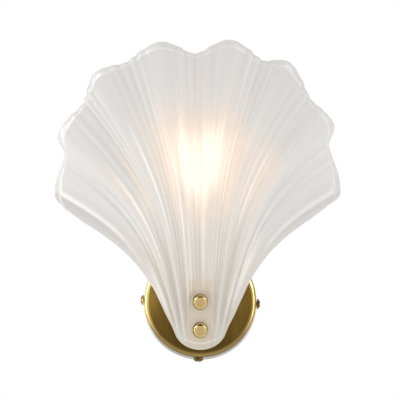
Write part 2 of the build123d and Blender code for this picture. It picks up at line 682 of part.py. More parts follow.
def centre_contact():
    """Sprung centre contact, riveted through the web."""
    rise = BULB_TIP_ABOVE_WEB - SPRING_GAP
    rivet = Pos(0, 0, -HOLDER_WEB_T / 2) * Cylinder(SPRING_RIVET_R, HOLDER_WEB_T)
    plate = Pos(0, 0, SPRING_PLATE_T / 2) * Cylinder(SPRING_PLATE_R, SPRING_PLATE_T)
    neck = Pos(0, 0, rise / 2) * Cylinder(SPRING_RIVET_R, rise)
    button = Pos(0, 0, rise - SPRING_PLATE_T / 2) * Cylinder(SPRING_R, SPRING_PLATE_T)
    return on_lamp_axis(WEB_TOP, rivet + plate + neck + button)


# ---------------------------------------------------------------- bulb
CAP_FOOT = BULB_TIP_H + BULB_INSULATOR_H
CAP_TOP = CAP_FOOT + BULB_CAP_H
GLOBE_CENTRE = BULB_LENGTH - BULB_R


def bulb_tip():
    """Solder contact at the foot of the bulb."""
    tip = Pos(0, 0, BULB_TIP_H / 2) * Cylinder(BULB_TIP_R, BULB_TIP_H)
    return on_lamp_axis(TIP_Z, fillet(tip.edges().group_by(Axis.Z)[0], BULB_TIP_ROUND))


def bulb_insulator():
    """Black glass cone between the tip and the screw cap."""
    cone = Cone(BULB_INSULATOR_R, BULB_CAP_FOOT_R, BULB_INSULATOR_H)
    return on_lamp_axis(TIP_Z + BULB_TIP_H + BULB_INSULATOR_H / 2, cone)


def bulb_cap():
    """Screw cap, a cup with its lower edge drawn in."""
    wall = BULB_CAP_WALL
    outline = Polyline(
        (0, 0),
        (BULB_CAP_FOOT_R, 0),
        (BULB_CAP_R, BULB_CAP_DRAW_IN),
        (BULB_CAP_R, BULB_CAP_H),
        (BULB_CAP_R - wall, BULB_CAP_H),
        (BULB_CAP_R - wall, BULB_CAP_DRAW_IN + wall),
        (BULB_CAP_FOOT_R - wall, wall),
        (0, wall),
        close=True,
    )
    return on_lamp_axis(TIP_Z + CAP_FOOT, revolve(Plane.XZ * make_face(outline.edges()), Axis.Z))


def globe_profile(inset):
    """Half section of the globe and neck, set in by a wall's thickness."""
    foot = CAP_TOP + inset
    neck_top = CAP_TOP + BULB_NECK_H
    drop = GLOBE_CENTRE - neck_top
    hollow_r = (BULB_NECK_R ** 2 + drop ** 2 - BULB_R ** 2) / (2 * (BULB_R - BULB_NECK_R))
    turn = degrees(atan2(drop, BULB_NECK_R + hollow_r))
    globe = CenterArc((0, GLOBE_CENTRE), BULB_R - inset, -turn, 90 + turn).edge()
    hollow = CenterArc((BULB_NECK_R + hollow_r, neck_top), hollow_r + inset, 180, -turn).edge()
    rest = Polyline(globe @ 1, (0, foot), (BULB_NECK_R - inset, foot), hollow @ 0)
    return revolve(Plane.XZ * make_face([*rest.edges(), hollow, globe]), Axis.Z)


def bulb_globe():
    """Opal glass globe with its neck, hollow."""
    return on_lamp_axis(TIP_Z, globe_profile(0) - globe_profile(BULB_WALL))


def bulb_stem():
    """Glass stem that carries the filaments, standing on the floor of the neck."""
    foot = CAP_TOP + BULB_WALL
    top = GLOBE_CENTRE + FILAMENT_LENGTH / 2
    disc = Pos(0, 0, foot + STEM_DISC_T / 2) * Cylinder(STEM_FOOT_R, STEM_DISC_T)
    post = Pos(0, 0, (foot + top) / 2) * Cylinder(STEM_R, top - foot)
    crown = Pos(0, 0, top + STEM_DISC_T / 2) * Cylinder(FILAMENT_RING_R + FILAMENT_R, STEM_DISC_T)
    return on_lamp_axis(TIP_Z, disc + post + crown)


def bulb_filaments():
    """Upright light-emitting filaments hung from the stem's crown."""
    rod = Pos(FILAMENT_RING_R, 0, GLOBE_CENTRE) * Cylinder(FILAMENT_R, FILAMENT_LENGTH)
    step = 360 / FILAMENT_COUNT
    return [on_lamp_axis(TIP_Z, Rot(Z=(k + 0.5) * step) * rod) for k in range(FILAMENT_COUNT)]


# ---------------------------------------------------------------- wiring
def lead_bush():
    """Grooved rubber bush in the canopy's face."""
    length = CANOPY_WALL + 2 * BUSH_FLANGE_T
    groove_r = BUSH_HOLE_R - BUSH_GAP
    inner = ring(BUSH_FLANGE_R, LEAD_R + LEAD_GAP, BUSH_FLANGE_T)
    middle = Pos(0, 0, BUSH_FLANGE_T) * ring(groove_r, LEAD_R + LEAD_GAP, CANOPY_WALL)
    outer = Pos(0, 0, length - BUSH_FLANGE_T) * inner
    return at(BUSH_X, BUSH_Z, CANOPY_INSIDE - BUSH_FLANGE_T) * (inner + middle + outer)


def tube(radius, bend, *points):
    """Round wire along straight runs joined by arcs; points are across, up, out."""
    route = FilletPolyline(*[(x, -out, z) for x, z, out in points], radius=bend)
    start = route.edges()[0]
    section = Plane(origin=start @ 0, z_dir=start % 0) * Circle(radius)
    return sweep(section, path=route)


SHEATH_END = CANOPY_INSIDE - BUSH_FLANGE_T - SHEATH_INSIDE


def lamp_lead():
    """Sheathed lead from the lampholder, down through the nipple and into the canopy."""
    return tube(
        LEAD_R,
        LEAD_BEND_R,
        (0, HOLDER_FOOT + HOLDER_FLOOR_T, LAMP_OUT),
        (0, BUSH_Z + LEAD_TURN, LAMP_OUT),
        (BUSH_X, BUSH_Z, CANOPY_DEPTH + LEAD_RUN_IN),
        (BUSH_X, BUSH_Z, SHEATH_END),
    )


def core(side):
    """Insulated core from the end of the sheath to its way in the terminal block."""
    way_z = BLOCK_Z + (WAY_PITCH if side > 0 else 0)
    start_z = BUSH_Z + side * CORE_PITCH / 2
    level = PLATE_T + WAY_OUT
    mouth = BLOCK_X + BLOCK_LENGTH / 2
    return tube(
        CORE_R,
        CORE_BEND_R,
        (BUSH_X, start_z, SHEATH_END),
        (BUSH_X, start_z, level),
        (CORE_TURN_X, way_z, level),
        (mouth - CORE_INSERTION, way_z, level),
    )


def way_places():
    """Heights of the terminal block's ways."""
    return [BLOCK_Z + WAY_PITCH * (k - (WAY_COUNT - 1) / 2) for k in range(WAY_COUNT)]


def terminal_block():
    """Moulded block with a bore for each barrel and a hole over each terminal screw."""
    width = WAY_PITCH * WAY_COUNT
    block = Pos(0, 0, BLOCK_DEPTH / 2) * Box(BLOCK_LENGTH, width, BLOCK_DEPTH)
    block = fillet(block.edges().filter_by(Axis.Z), BLOCK_EDGE_R)
    well = Cylinder(TERMINAL_SCREW_R + SCREW_WELL_GAP, 2 * (BLOCK_DEPTH - WAY_OUT))
    for z in way_places():
        block -= Pos(0, z - BLOCK_Z, WAY_OUT) * Rot(Y=90) * Cylinder(BARREL_R + THREAD_GAP, 2 * BLOCK_LENGTH)
        for x in (-TERMINAL_SCREW_X, TERMINAL_SCREW_X):
            block -= Pos(x, z - BLOCK_Z, BLOCK_DEPTH) * well
    return at(BLOCK_X, BLOCK_Z, PLATE_T) * block


def terminal_barrels():
    """Brass barrels in the terminal block."""
    length = BLOCK_LENGTH - 2 * BARREL_SHORT
    barrel = Rot(Y=90) * (Cylinder(BARREL_R, length) - Cylinder(BARREL_BORE_R, 2 * length))
    for x in (-TERMINAL_SCREW_X, TERMINAL_SCREW_X):
        barrel -= Pos(x, 0, BARREL_R) * Cylinder(TERMINAL_SCREW_R + THREAD_GAP, 2 * BARREL_R)
    return [at(BLOCK_X, z, PLATE_T + WAY_OUT) * barrel for z in way_places()]


def terminal_screws():
    """Clamping screws of the barrels."""
    length = BLOCK_DEPTH - WAY_OUT - TERMINAL_SCREW_SUNK - CORE_R
    screws = []
    for z in way_places():
        for x in (-TERMINAL_SCREW_X, TERMINAL_SCREW_X):
            foot = PLATE_T + WAY_OUT + CORE_R
            screws.append(at(BLOCK_X + x, z, foot + length / 2) * Cylinder(TERMINAL_SCREW_R, length))
    return screws


def nodes():
    """Every piece of the sconce, by name."""
    return {
        "wall_plate": wall_plate(),
        "entry_bush": entry_bush(),
        "earth_screw": earth_screw(),
        "earth_washer": earth_washer(),
        "terminal_block": terminal_block(),
        "terminal_barrels": terminal_barrels(),
        "terminal_screws": terminal_screws(),
        "canopy": canopy(),
        "side_screws": side_screws(),
        "lead_bush": lead_bush(),
        "lamp_lead": lamp_lead(),
        "core_live": core(1),
        "core_neutral": core(-1),
        "glass_strap": glass_strap(),
        "strap_screws": face_screws(STRAP_SCREWS_Z),
        "glass_bolts": glass_bolts(),
        "rear_pads": rear_pads(),
        "hole_sleeves": hole_sleeves(),
        "glass_shell": glass_shell(),
        "front_washers": front_washers(),
        "upper_cap_nut": cap_nut(BOLT_PLACES[0]),
        "lower_cap_nut": cap_nut(BOLT_PLACES[1]),
        "lamp_arm": lamp_arm(),
        "arm_screws": face_screws(ARM_SCREWS_Z),
        "nipple": nipple(),
        "nipple_nut": nipple_nut(),
        "holder_base": holder_base(),
        "holder_body": holder_body(),
        "screw_sleeve": screw_sleeve(),
        "centre_contact": centre_contact(),
        "bulb_tip": bulb_tip(),
        "bulb_insulator": bulb_insulator(),
        "bulb_cap": bulb_cap(),
        "bulb_globe": bulb_globe(),
        "bulb_stem": bulb_stem(),
        "bulb_filaments": bulb_filaments(),
    }


os.makedirs(PARTS, exist_ok=True)
for name, shape in nodes().items():
    solids = shape if isinstance(shape, list) else [shape]
    export_step(Compound(children=[s for item in solids for s in item.solids()]), f"{PARTS}/{name}.step")
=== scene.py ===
"""Shell wall sconce: the finish of every piece, in metres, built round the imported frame."""
from math import cos, pi, radians, sin

import bmesh
import bpy
import numpy as np
from mathutils import Matrix, Vector


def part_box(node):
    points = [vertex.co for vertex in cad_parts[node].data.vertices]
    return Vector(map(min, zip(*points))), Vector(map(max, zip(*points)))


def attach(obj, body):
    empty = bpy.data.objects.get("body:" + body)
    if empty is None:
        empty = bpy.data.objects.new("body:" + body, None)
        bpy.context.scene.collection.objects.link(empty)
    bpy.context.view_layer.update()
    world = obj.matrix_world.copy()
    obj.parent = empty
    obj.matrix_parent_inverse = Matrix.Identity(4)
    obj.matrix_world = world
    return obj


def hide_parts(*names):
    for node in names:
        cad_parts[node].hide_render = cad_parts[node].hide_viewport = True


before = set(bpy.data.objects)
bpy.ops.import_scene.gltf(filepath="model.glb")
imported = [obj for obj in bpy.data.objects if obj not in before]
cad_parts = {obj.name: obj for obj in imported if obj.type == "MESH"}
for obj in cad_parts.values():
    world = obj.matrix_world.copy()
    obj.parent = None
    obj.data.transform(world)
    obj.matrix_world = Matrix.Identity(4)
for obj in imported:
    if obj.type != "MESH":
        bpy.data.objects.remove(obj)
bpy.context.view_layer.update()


# ---- wall plate and its fixings ----
# Stamped steel plate, zinc plated, screwed to the wall through its two slots. The screws, bolts, nipple and
# nuts that hold the sconce together are the same zinc-plated steel, turned or cold headed.
class Field:
    """A number, colour or vector that nodes work out. Python's own operators put math nodes after it."""

    def __init__(self, tree, socket):
        self.tree, self.socket = tree, socket

    def __add__(self, other):
        return compute(self.tree, "ADD", self, other)

    def __sub__(self, other):
        return compute(self.tree, "SUBTRACT", self, other)

    def __rsub__(self, other):
        return compute(self.tree, "SUBTRACT", other, self)

    def __mul__(self, other):
        return compute(self.tree, "MULTIPLY", self, other)

    def __truediv__(self, other):
        return compute(self.tree, "DIVIDE", self, other)

    def __mod__(self, other):
        return compute(self.tree, "FLOORED_MODULO", self, other)

    def __pow__(self, other):
        return compute(self.tree, "POWER", self, other)

    def __abs__(self):
        return compute(self.tree, "ABSOLUTE", self)

    def __gt__(self, other):
        return compute(self.tree, "GREATER_THAN", self, other)

    def __lt__(self, other):
        return compute(self.tree, "LESS_THAN", self, other)


def plug(value, socket):
    """Links a field to a socket, or sets the socket to a plain value."""
    if isinstance(value, Field):
        value.tree.links.new(value.socket, socket)
    elif socket.type == "RGBA":
        socket.default_value = (*value, 1)
    else:
        socket.default_value = value


def compute(tree, operation, *values, kind="ShaderNodeMath", output="Value"):
    """A math node, or a vector math node, on fields and numbers in their order."""
    node = tree.nodes.new(kind)
    node.operation = operation
    for value, socket in zip(values, node.inputs):
        plug(value, socket)
    return Field(tree, node.outputs[output])


def wired(tree, kind, output, setup=(), **inputs):
    """One output of a new node that has its properties set and its inputs fed by name."""
    node = tree.nodes.new(kind)
    for name, value in dict(setup).items():
        setattr(node, name, value)
    for name, value in inputs.items():
        plug(value, node.inputs[name.replace("_", " ")])
    return Field(tree, node.outputs[output])


def remap(field, start, end, low=0.0, high=1.0, interpolation="LINEAR"):
    """Runs from low to high while the field runs from start to end, and stays level beyond them."""
    setup = {"interpolation_type": interpolation}
    return wired(field.tree, "ShaderNodeMapRange", "Result", setup,
                 Value=field, From_Min=start, From_Max=end, To_Min=low, To_Max=high)


def ramp(field, low, high, low_at=0.3, high_at=0.7):
    """A colour that runs from low to high with a field."""
    node = field.tree.nodes.new("ShaderNodeValToRGB")
    for stop, position, colour in zip(node.color_ramp.elements, (low_at, high_at), (low, high)):
        stop.position = position
        stop.color = (*colour, 1)
    plug(field, node.inputs["Fac"])
    return Field(field.tree, node.outputs["Color"])


def shader_input(material, name):
    """One of the inputs of a material's shader."""
    return material.node_tree.nodes["Principled BSDF"].inputs[name]


def new_finish(name, colour, roughness, **constants):
    """A Principled material whose even values sit on the shader's own sockets."""
    material = bpy.data.materials.new(name)
    material.use_nodes = True
    plug(colour, shader_input(material, "Base Color"))
    plug(roughness, shader_input(material, "Roughness"))
    for socket, value in constants.items():
        plug(value, shader_input(material, socket.replace("_", " ")))
    return material


def place_on(material):
    """Object coordinates."""
    return wired(material.node_tree, "ShaderNodeTexCoord", "Object")


def noise(place, detail, **settings):
    """Noise at a place, one grain to a unit."""
    return wired(place.tree, "ShaderNodeTexNoise", "Fac",
                 Vector=place, Scale=1.0, Detail=detail, **settings)


def grain(material, size, stretch=(1, 1, 1), detail=3.0):
    """Noise in object space with grains of about this size, drawn out by the stretch."""
    drawn_out = wired(material.node_tree, "ShaderNodeMapping", "Vector",
                      Vector=place_on(material), Scale=tuple(1 / (size * s) for s in stretch))
    return noise(drawn_out, detail, Roughness=0.6)


def shade(material, field, low, high, low_at=0.3, high_at=0.7, socket="Base Color"):
    """Lets a field run the shader's colour from low to high."""
    plug(ramp(field, low, high, low_at, high_at), shader_input(material, socket))


def spread(material, field, low, high):
    """Lets a field run the roughness from low to high."""
    plug(remap(field, 0.25, 0.75, low, high), shader_input(material, "Roughness"))


def emboss(material, field, height, strength=1.0):
    """Raises the surface by a field, up to a height in metres, on top of the relief it already has."""
    normal = shader_input(material, "Normal")
    under = {"Normal": Field(material.node_tree, normal.links[0].from_socket)} if normal.is_linked else {}
    raised = wired(material.node_tree, "ShaderNodeBump", "Normal",
                   Height=field, Distance=height, Strength=strength, **under)
    plug(raised, normal)


def dress(material, *names):
    """Gives CAD nodes a finish through their material slots."""
    for name in names:
        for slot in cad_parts[name].material_slots:
            slot.material = material


zinc = new_finish("zinc_plate", (0.62, 0.63, 0.65), 0.32, Metallic=1.0)
zinc_grain = grain(zinc, 0.0022)
shade(zinc, zinc_grain, (0.50, 0.51, 0.54), (0.70, 0.70, 0.69))
spread(zinc, zinc_grain, 0.24, 0.42)
emboss(zinc, grain(zinc, 0.0006), 0.00002)
dress(zinc, "wall_plate", "earth_screw", "earth_washer", "terminal_screws", "strap_screws", "arm_screws",
      "glass_bolts", "nipple", "nipple_nut")


# ---- entry bush and lead bush ----
# Moulded black rubber, pressed into the cable hole of the wall plate and into the canopy's face so that no
# wire rubs on a metal edge. Slightly bloomed, with a fine moulded skin.
rubber = new_finish("bush_rubber", (0.03, 0.03, 0.03), 0.62)
rubber_skin = grain(rubber, 0.0009)
shade(rubber, rubber_skin, (0.018, 0.018, 0.019), (0.05, 0.049, 0.047))
emboss(rubber, rubber_skin, 0.00003)
dress(rubber, "entry_bush", "lead_bush")


# ---- terminal block ----
# White nylon block with brass barrels, screwed down on the wires. It sits on the wall plate, inside the
# canopy. The lampholder's sleeve and contact are of the same brass as the barrels.
nylon = new_finish("block_nylon", (0.80, 0.80, 0.77), 0.42, Subsurface_Weight=0.15, Subsurface_Scale=0.002)
shade(nylon, grain(nylon, 0.006, (1, 1, 3)), (0.74, 0.74, 0.70), (0.84, 0.84, 0.81))
emboss(nylon, grain(nylon, 0.0007), 0.000015)
dress(nylon, "terminal_block")

contact_brass = new_finish("contact_brass", (0.72, 0.53, 0.24), 0.28, Metallic=1.0)
contact_tarnish = grain(contact_brass, 0.003)
shade(contact_brass, contact_tarnish, (0.56, 0.38, 0.15), (0.78, 0.60, 0.30))
spread(contact_brass, contact_tarnish, 0.18, 0.38)
dress(contact_brass, "terminal_barrels", "screw_sleeve", "centre_contact")


# ---- lead and cores ----
# Two insulated cores in an off-white sheath, down from the lampholder through the nipple and into the
# canopy. The cores leave the sheath there, brown for live and blue for neutral.
def insulation(name, dark, light):
    """Extruded plastic with faint lines along its length and a soft shine."""
    material = new_finish(name, light, 0.36, Specular_IOR_Level=0.5)
    drawn = grain(material, 0.0012, (1, 1, 4))
    shade(material, drawn, dark, light)
    emboss(material, drawn, 0.00002)
    return material


dress(insulation("sheath_white", (0.68, 0.66, 0.62), (0.80, 0.79, 0.75)), "lamp_lead")
dress(insulation("core_brown", (0.07, 0.028, 0.012), (0.14, 0.06, 0.026)), "core_live")
dress(insulation("core_blue", (0.012, 0.05, 0.20), (0.025, 0.09, 0.32)), "core_neutral")


# ---- canopy ----
# Spun brass cup. Its face is brushed in straight upright strokes and left a little dark under the lacquer;
# its rounded edge and flared side are polished. Three screws through the side hold it on the wall plate.
# Light and shade are painted into its colour: darker low down, lighter high up and on the upper left, with a
# painted highlight and dark outline across the rounded edge.
OUTWARD = Matrix.Rotation(pi / 2, 4, "X")      # local z stands out from the wall, local y is up

EDGE_ROUND = 0.0042
CANOPY_SHEET = 0.0012
CANOPY_FLARE = 0.0012
POLISH_START, POLISH_END = 1.1, 0.7            # how far inside the edge the polish begins, in edge rounds
EDGE_BRASS = (0.68, 0.46, 0.15)
FACE_LOW, FACE_PAINTED_LIGHT = -0.036, (0.66, 1.30)    # painted light and shade: the face and the edge are painted lighter from this height
EDGE_LOW, EDGE_PAINTED_LIGHT = -0.030, (0.36, 1.35)
TONES_TOP = 0.004                              # up to this one
RING_PAINTED_HIGHLIGHT = (                                 # painted highlight and dark outline across the rounded edge: share of its width, tone
    (0.0, 0.8), (0.30, 1.0), (0.42, 1.7), (0.62, 1.1), (0.76, 0.45), (0.82, 0.6), (0.90, 1.0),
)
LIT_X, LIT_Z, LIT_TONE = (-0.034, -0.048), (-0.022, 0.0), 1.7     # painted light on the upper left of the cup
FACE_ROUGH, EDGE_ROUGH = 0.36, 0.13
ON_AXIS = 1e-7                                 # a ring smaller than this is one point


def arc(centre_r, centre_h, radius, start, end, steps):
    """Points of an arc in a (radius, height) profile, from one angle in degrees to another."""
    angles = [radians(start + (end - start) * k / steps) for k in range(steps + 1)]
    return [(centre_r + radius * cos(a), centre_h + radius * sin(a)) for a in angles]


def settled(mesh, name, crisp):
    """Links a finished mesh as an object at the origin, smooth but for edges above an angle in degrees."""
    piece = bpy.data.objects.new(name, mesh)
    bpy.context.scene.collection.objects.link(piece)
    mesh.polygons.foreach_set("use_smooth", [True] * len(mesh.polygons))
    mesh.set_sharp_from_angle(angle=radians(crisp))
    return piece


def turned(name, profile, place, steps, crisp):
    """A turned piece: the closed (radius, height) profile spun round the local z axis of its place."""
    form = bmesh.new()
    rings = []
    for radius, height in profile:
        if radius < ON_AXIS:
            rings.append([form.verts.new(place @ Vector((0, 0, height)))])
            continue
        angles = [2 * pi * k / steps for k in range(steps)]
        points = [(radius * cos(a), radius * sin(a), height) for a in angles]
        rings.append([form.verts.new(place @ Vector(point)) for point in points])
    closed = rings + rings[:1] if len(rings[0]) > 1 or len(rings[-1]) > 1 else rings
    for low, high in zip(closed, closed[1:]):
        for k in range(steps):
            a, b = low[k % len(low)], low[(k + 1) % len(low)]
            c, d = high[(k + 1) % len(high)], high[k % len(high)]
            corners = list(dict.fromkeys((a, b, c, d)))
            if len(corners) > 2:
                form.faces.new(corners)
    bmesh.ops.recalc_face_normals(form, faces=form.faces)
    mesh = bpy.data.meshes.new(name)
    form.to_mesh(mesh)
    form.free()
    return settled(mesh, name, crisp)


def axes(vector):
    """The three parts of a vector field."""
    apart = vector.tree.nodes.new("ShaderNodeSeparateXYZ")
    plug(vector, apart.inputs["Vector"])
    return [Field(vector.tree, part) for part in apart.outputs]


def scaled(vector, factor):
    """A vector or colour times a number."""
    setup = {"operation": "SCALE"}
    return wired(vector.tree, "ShaderNodeVectorMath", "Vector", setup, Vector=vector, Scale=factor)


def blend(share, a, b, mode="MIX"):
    """The colour a share of the way from a to b, or b laid on a in another mode."""
    tree = next(part.tree for part in (share, a, b) if isinstance(part, Field))
    setup = {"data_type": "RGBA", "blend_type": mode}
    return wired(tree, "ShaderNodeMix", "Result", setup, Factor=share, A=a, B=b)


low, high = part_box("canopy")
canopy_depth = high.y - low.y
wide_r = (high.x - low.x) / 2
canopy_r = wide_r - CANOPY_FLARE
edge_foot = canopy_depth - EDGE_ROUND
canopy_profile = [
    (0, canopy_depth),
    *arc(canopy_r - EDGE_ROUND, edge_foot, EDGE_ROUND, 90, 0, 14),
    (wide_r, 0),
    (wide_r - CANOPY_SHEET, 0),
    *arc(canopy_r - EDGE_ROUND, edge_foot, EDGE_ROUND - CANOPY_SHEET, 0, 90, 10),
    (0, canopy_depth - CANOPY_SHEET),
]
canopy = turned("canopy_cup", canopy_profile, OUTWARD, steps=256, crisp=60)

brass = new_finish("canopy_brass", (0.5, 0.34, 0.12), 0.3, Metallic=1.0)
brass_tree = brass.node_tree
x, _, z = axes(place_on(brass))
in_plane = wired(brass_tree, "ShaderNodeCombineXYZ", "Vector", X=x, Y=z)
from_axis = compute(brass_tree, "LENGTH", in_plane, kind="ShaderNodeVectorMath")
polish = remap(from_axis, canopy_r - POLISH_START * EDGE_ROUND, canopy_r - POLISH_END * EDGE_ROUND,
               interpolation="SMOOTHSTEP")
strokes = grain(brass, 0.0011, (0.35, 1, 16), detail=4)
clouds = grain(brass, 0.022, (0.6, 1, 1.7), detail=1)
stroke_colour = ramp(strokes, (0.27, 0.158, 0.029), (0.43, 0.265, 0.058), 0.25, 0.75)
by_zone = blend(polish, blend(0.45, stroke_colour, clouds, "MULTIPLY"), EDGE_BRASS)
# painted light and shade: the face and the edge are darker low down and lighter high up
face_tone = remap(z, FACE_LOW, TONES_TOP, *FACE_PAINTED_LIGHT)
edge_height_light = remap(z, EDGE_LOW, TONES_TOP, *EDGE_PAINTED_LIGHT)
painted_height_light = wired(brass_tree, "ShaderNodeMix", "Result", Factor=polish, A=face_tone, B=edge_height_light)
# painted highlight and dark outline across the rounded edge
ring = brass_tree.nodes.new("ShaderNodeValToRGB")
ring.color_ramp.interpolation = "EASE"
stops = ring.color_ramp.elements
stops[0].position, stops[1].position = RING_PAINTED_HIGHLIGHT[0][0], RING_PAINTED_HIGHLIGHT[-1][0]
for position, _ in RING_PAINTED_HIGHLIGHT[1:-1]:
    stops.new(position)
for stop, (_, level) in zip(stops, RING_PAINTED_HIGHLIGHT):
    stop.color = (level, level, level, 1)
plug(remap(from_axis, canopy_r - EDGE_ROUND, wide_r), ring.inputs["Fac"])
# painted light on the upper left, times the painted edge ring and the painted height light
lit = remap(x, *LIT_X) * remap(z, *LIT_Z)
tone = Field(brass_tree, ring.outputs["Color"]) * painted_height_light * remap(lit, 0.0, 1.0, 1.0, LIT_TONE)
toned = scaled(by_zone, tone)
plug(toned, shader_input(brass, "Base Color"))
plug(remap(polish, 0.0, 1.0, FACE_ROUGH, EDGE_ROUGH), shader_input(brass, "Roughness"))
emboss(brass, remap(polish, 0.0, 1.0, 1.0, 0.0) * strokes, 0.00006, 0.6)
canopy.data.materials.append(brass)
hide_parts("canopy")
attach(canopy, "root")


# ---- strap and arm ----
# Steel strip, bent cold and brass plated to a satin finish. The strap holds the glass and the arm the
# lampholder, each with two screws from inside the canopy.
satin = new_finish("strap_plating", (0.55, 0.42, 0.24), 0.40, Metallic=1.0)
satin_lines = grain(satin, 0.0008, (0.4, 1, 10))
shade(satin, satin_lines, (0.46, 0.34, 0.18), (0.66, 0.52, 0.32))
spread(satin, satin_lines, 0.34, 0.50)
dress(satin, "glass_strap", "lamp_arm")


# ---- pads, sleeves and washers round the bolts ----
# Soft clear silicone, so that no metal touches the glass: a pad behind, a sleeve in each hole and a thin
# washer under each cap nut.
silicone = new_finish("clear_silicone", (0.74, 0.73, 0.70), 0.35, Transmission_Weight=0.35, IOR=1.41)
shade(silicone, grain(silicone, 0.0015), (0.70, 0.69, 0.66), (0.80, 0.79, 0.76))
dress(silicone, "rear_pads", "hole_sleeves", "front_washers")


# ---- glass shell ----
# Pressed frosted glass, 4.5 mm thick. Eight smooth lobes fan out from a flat land at the tail, with fine
# flutes between them, and the edge is bevelled all round. Its sides turn back towards the wall.
# The bulb's glow in it is painted on as emission, and light and shade are painted into its colour.
MM = 0.001
FAN = (-2.0, 105.0)      # centre of the rim's angles and reaches; the glass is drawn in millimetres
LOBES = ((-93.5, 125.4), (-71.3, 128.4), (-44.8, 128.0), (-17.1, 121.4),
         (14.5, 121.7), (38.4, 128.3), (67.0, 128.3), (92.7, 124.8))
NOTCHES = ((-79.4, 120.6), (-56.4, 120.2), (-31.4, 117.4), (-1.4, 105.6),
           (28.9, 115.5), (54.6, 120.7), (75.4, 120.2))
CORNERS = ((-102.0, 120.0), (102.0, 115.0))
HALF_LOBES = len(LOBES) / 2                                    # ribs are counted in lobes from the middle
TAIL_HALF_WIDTH, TAIL_SIDE_Z, TAIL_DROP = 24.2, -22.0, 22.0    # the rounded tail
TAIL_FAN = (                                                   # rib, angle at which it starts on the tail
    (0.0, 0.0), (0.5, 19.0), (1.5, 31.0), (2.5, 43.0), (3.5, 57.0), (4.0, 66.0),
)
TAIL_SPLAY, TAIL_SPLAY_POWER = 22.0, 1.4                       # how the ribs leave the tail, in degrees,
RIM_SPLAY_STEP, EDGE_SPLAY, EDGE_SPLAY_POWER = 19.5, 57.0, 6   # how they reach the rim
TAIL_PULL, RIM_PULL = 0.5, 0.4                                 # and how long they keep to that
TAIL_OUT, RISE, BELLY = 40.0, 77.0, 70.0                       # how far the middle stands off the wall
TAIL_WRAP, RIM_WRAP = 6.0, 85.0                                # how far the sides turn back from it
WRAP_RUN_POWER, WRAP_SIDE_POWER = 1.2, 1.5
FLANGE_TURN, FLANGE_POWER, FLANGE_RISE = 5.0, 1.3, 0.3         # and the last half lobe a little more
SEAT_Z, SEAT_OUT, SEAT_TILT = -13.5, 50.2, radians(19.5)       # middle of the land that the bolts hold
BOLT_SPACING = 26.0
LAND_HALF_WIDTH = 10.5
FLUTE_START, FLUTES_PER_SIDE, PLAIN_FLANGE = 0.22, 2, 0.75     # fine flutes, in ribs from a lobe's middle
FLUTE_SCALLOP = 0.9
SCALLOPED_RIBS, SCALLOP_FADE = 2.2, 0.6                        # beyond this rib the rim's scallops run out
COLUMNS_PER_LOBE = 40
SIDE_COLUMNS = 10        # extra columns near each side edge
CORNER_SWELL = 1.3       # how far the last half lobe stands out from its knots
CORNER_PULL = 0.06       # how far the side corners are rounded back, in ribs
CORNER_RIBS, CORNER_RUN = 0.3, 0.1     # the stretch that the rounding takes
EDGE_ROW_STEP = 0.0022
EDGE_ROW_COUNT = 12      # fine rows near the tail's end and the rim
MIDDLE_ROWS = 84
NUDGE = 0.004            # step for the slopes of the sheet

knot_rib = [-HALF_LOBES]
knot_polar = [CORNERS[0]]
for number, lobe in enumerate(LOBES):
    knot_rib.append(-HALF_LOBES + 0.5 + number)
    knot_polar.append(lobe)
    if number < len(NOTCHES):
        knot_rib.append(-HALF_LOBES + 1 + number)
        knot_polar.append(NOTCHES[number])
knot_rib.append(HALF_LOBES)
knot_polar.append(CORNERS[1])
knot_rib = np.array(knot_rib)
knot_angle, knot_reach = np.array(knot_polar).T


def travel(s):
    """Share of its length that a straight rib has covered at s."""
    return 3 * TAIL_PULL * s * (1 - s) ** 2 + 3 * (1 - RIM_PULL) * s * s * (1 - s) + s ** 3


def eased(t):
    """Smooth step from 0 to 1."""
    t = np.clip(t, 0, 1)
    return t * t * (3 - 2 * t)


def flute_crown(rib):
    """0 on the creases between fine flutes and on the lobes, 1 along the crown of a flute."""
    run = np.abs(rib % 1.0 - 0.5) - FLUTE_START
    width = (0.5 - FLUTE_START) / FLUTES_PER_SIDE
    fluted = (run > 0) & (np.abs(rib) <= HALF_LOBES - PLAIN_FLANGE)
    return np.where(fluted, np.abs(np.sin(pi * run / width)), 0.0)


def tail_point(rib):
    """Where a rib starts on the rounded tail, seen from the front."""
    turn = np.radians(np.interp(np.abs(rib), *np.array(TAIL_FAN).T))
    side = np.where(rib >= 0, 1.0, -1.0)
    return side * TAIL_HALF_WIDTH * np.sin(turn), TAIL_SIDE_Z - TAIL_DROP * np.cos(turn)


def rim_point(rib):
    """Where a rib ends on the lobed rim, seen from the front."""
    angle = np.radians(np.interp(rib, knot_rib, knot_angle))
    span = np.clip(np.searchsorted(knot_rib, rib) - 1, 0, len(knot_rib) - 2)
    part = (rib - knot_rib[span]) / (knot_rib[span + 1] - knot_rib[span])
    swell = (1 - np.cos(pi * part)) / 2
    reach = knot_reach[span] + (knot_reach[span + 1] - knot_reach[span]) * swell
    scallop = FLUTE_SCALLOP * (1 - eased((np.abs(rib) - SCALLOPED_RIBS) / SCALLOP_FADE))
    outer = np.clip((np.abs(rib) - HALF_LOBES + 0.5) / 0.5, 0, 1)
    reach = reach + scallop * flute_crown(rib) + CORNER_SWELL * np.sin(pi * outer)
    return FAN[0] + reach * np.sin(angle), FAN[1] + reach * np.cos(angle)


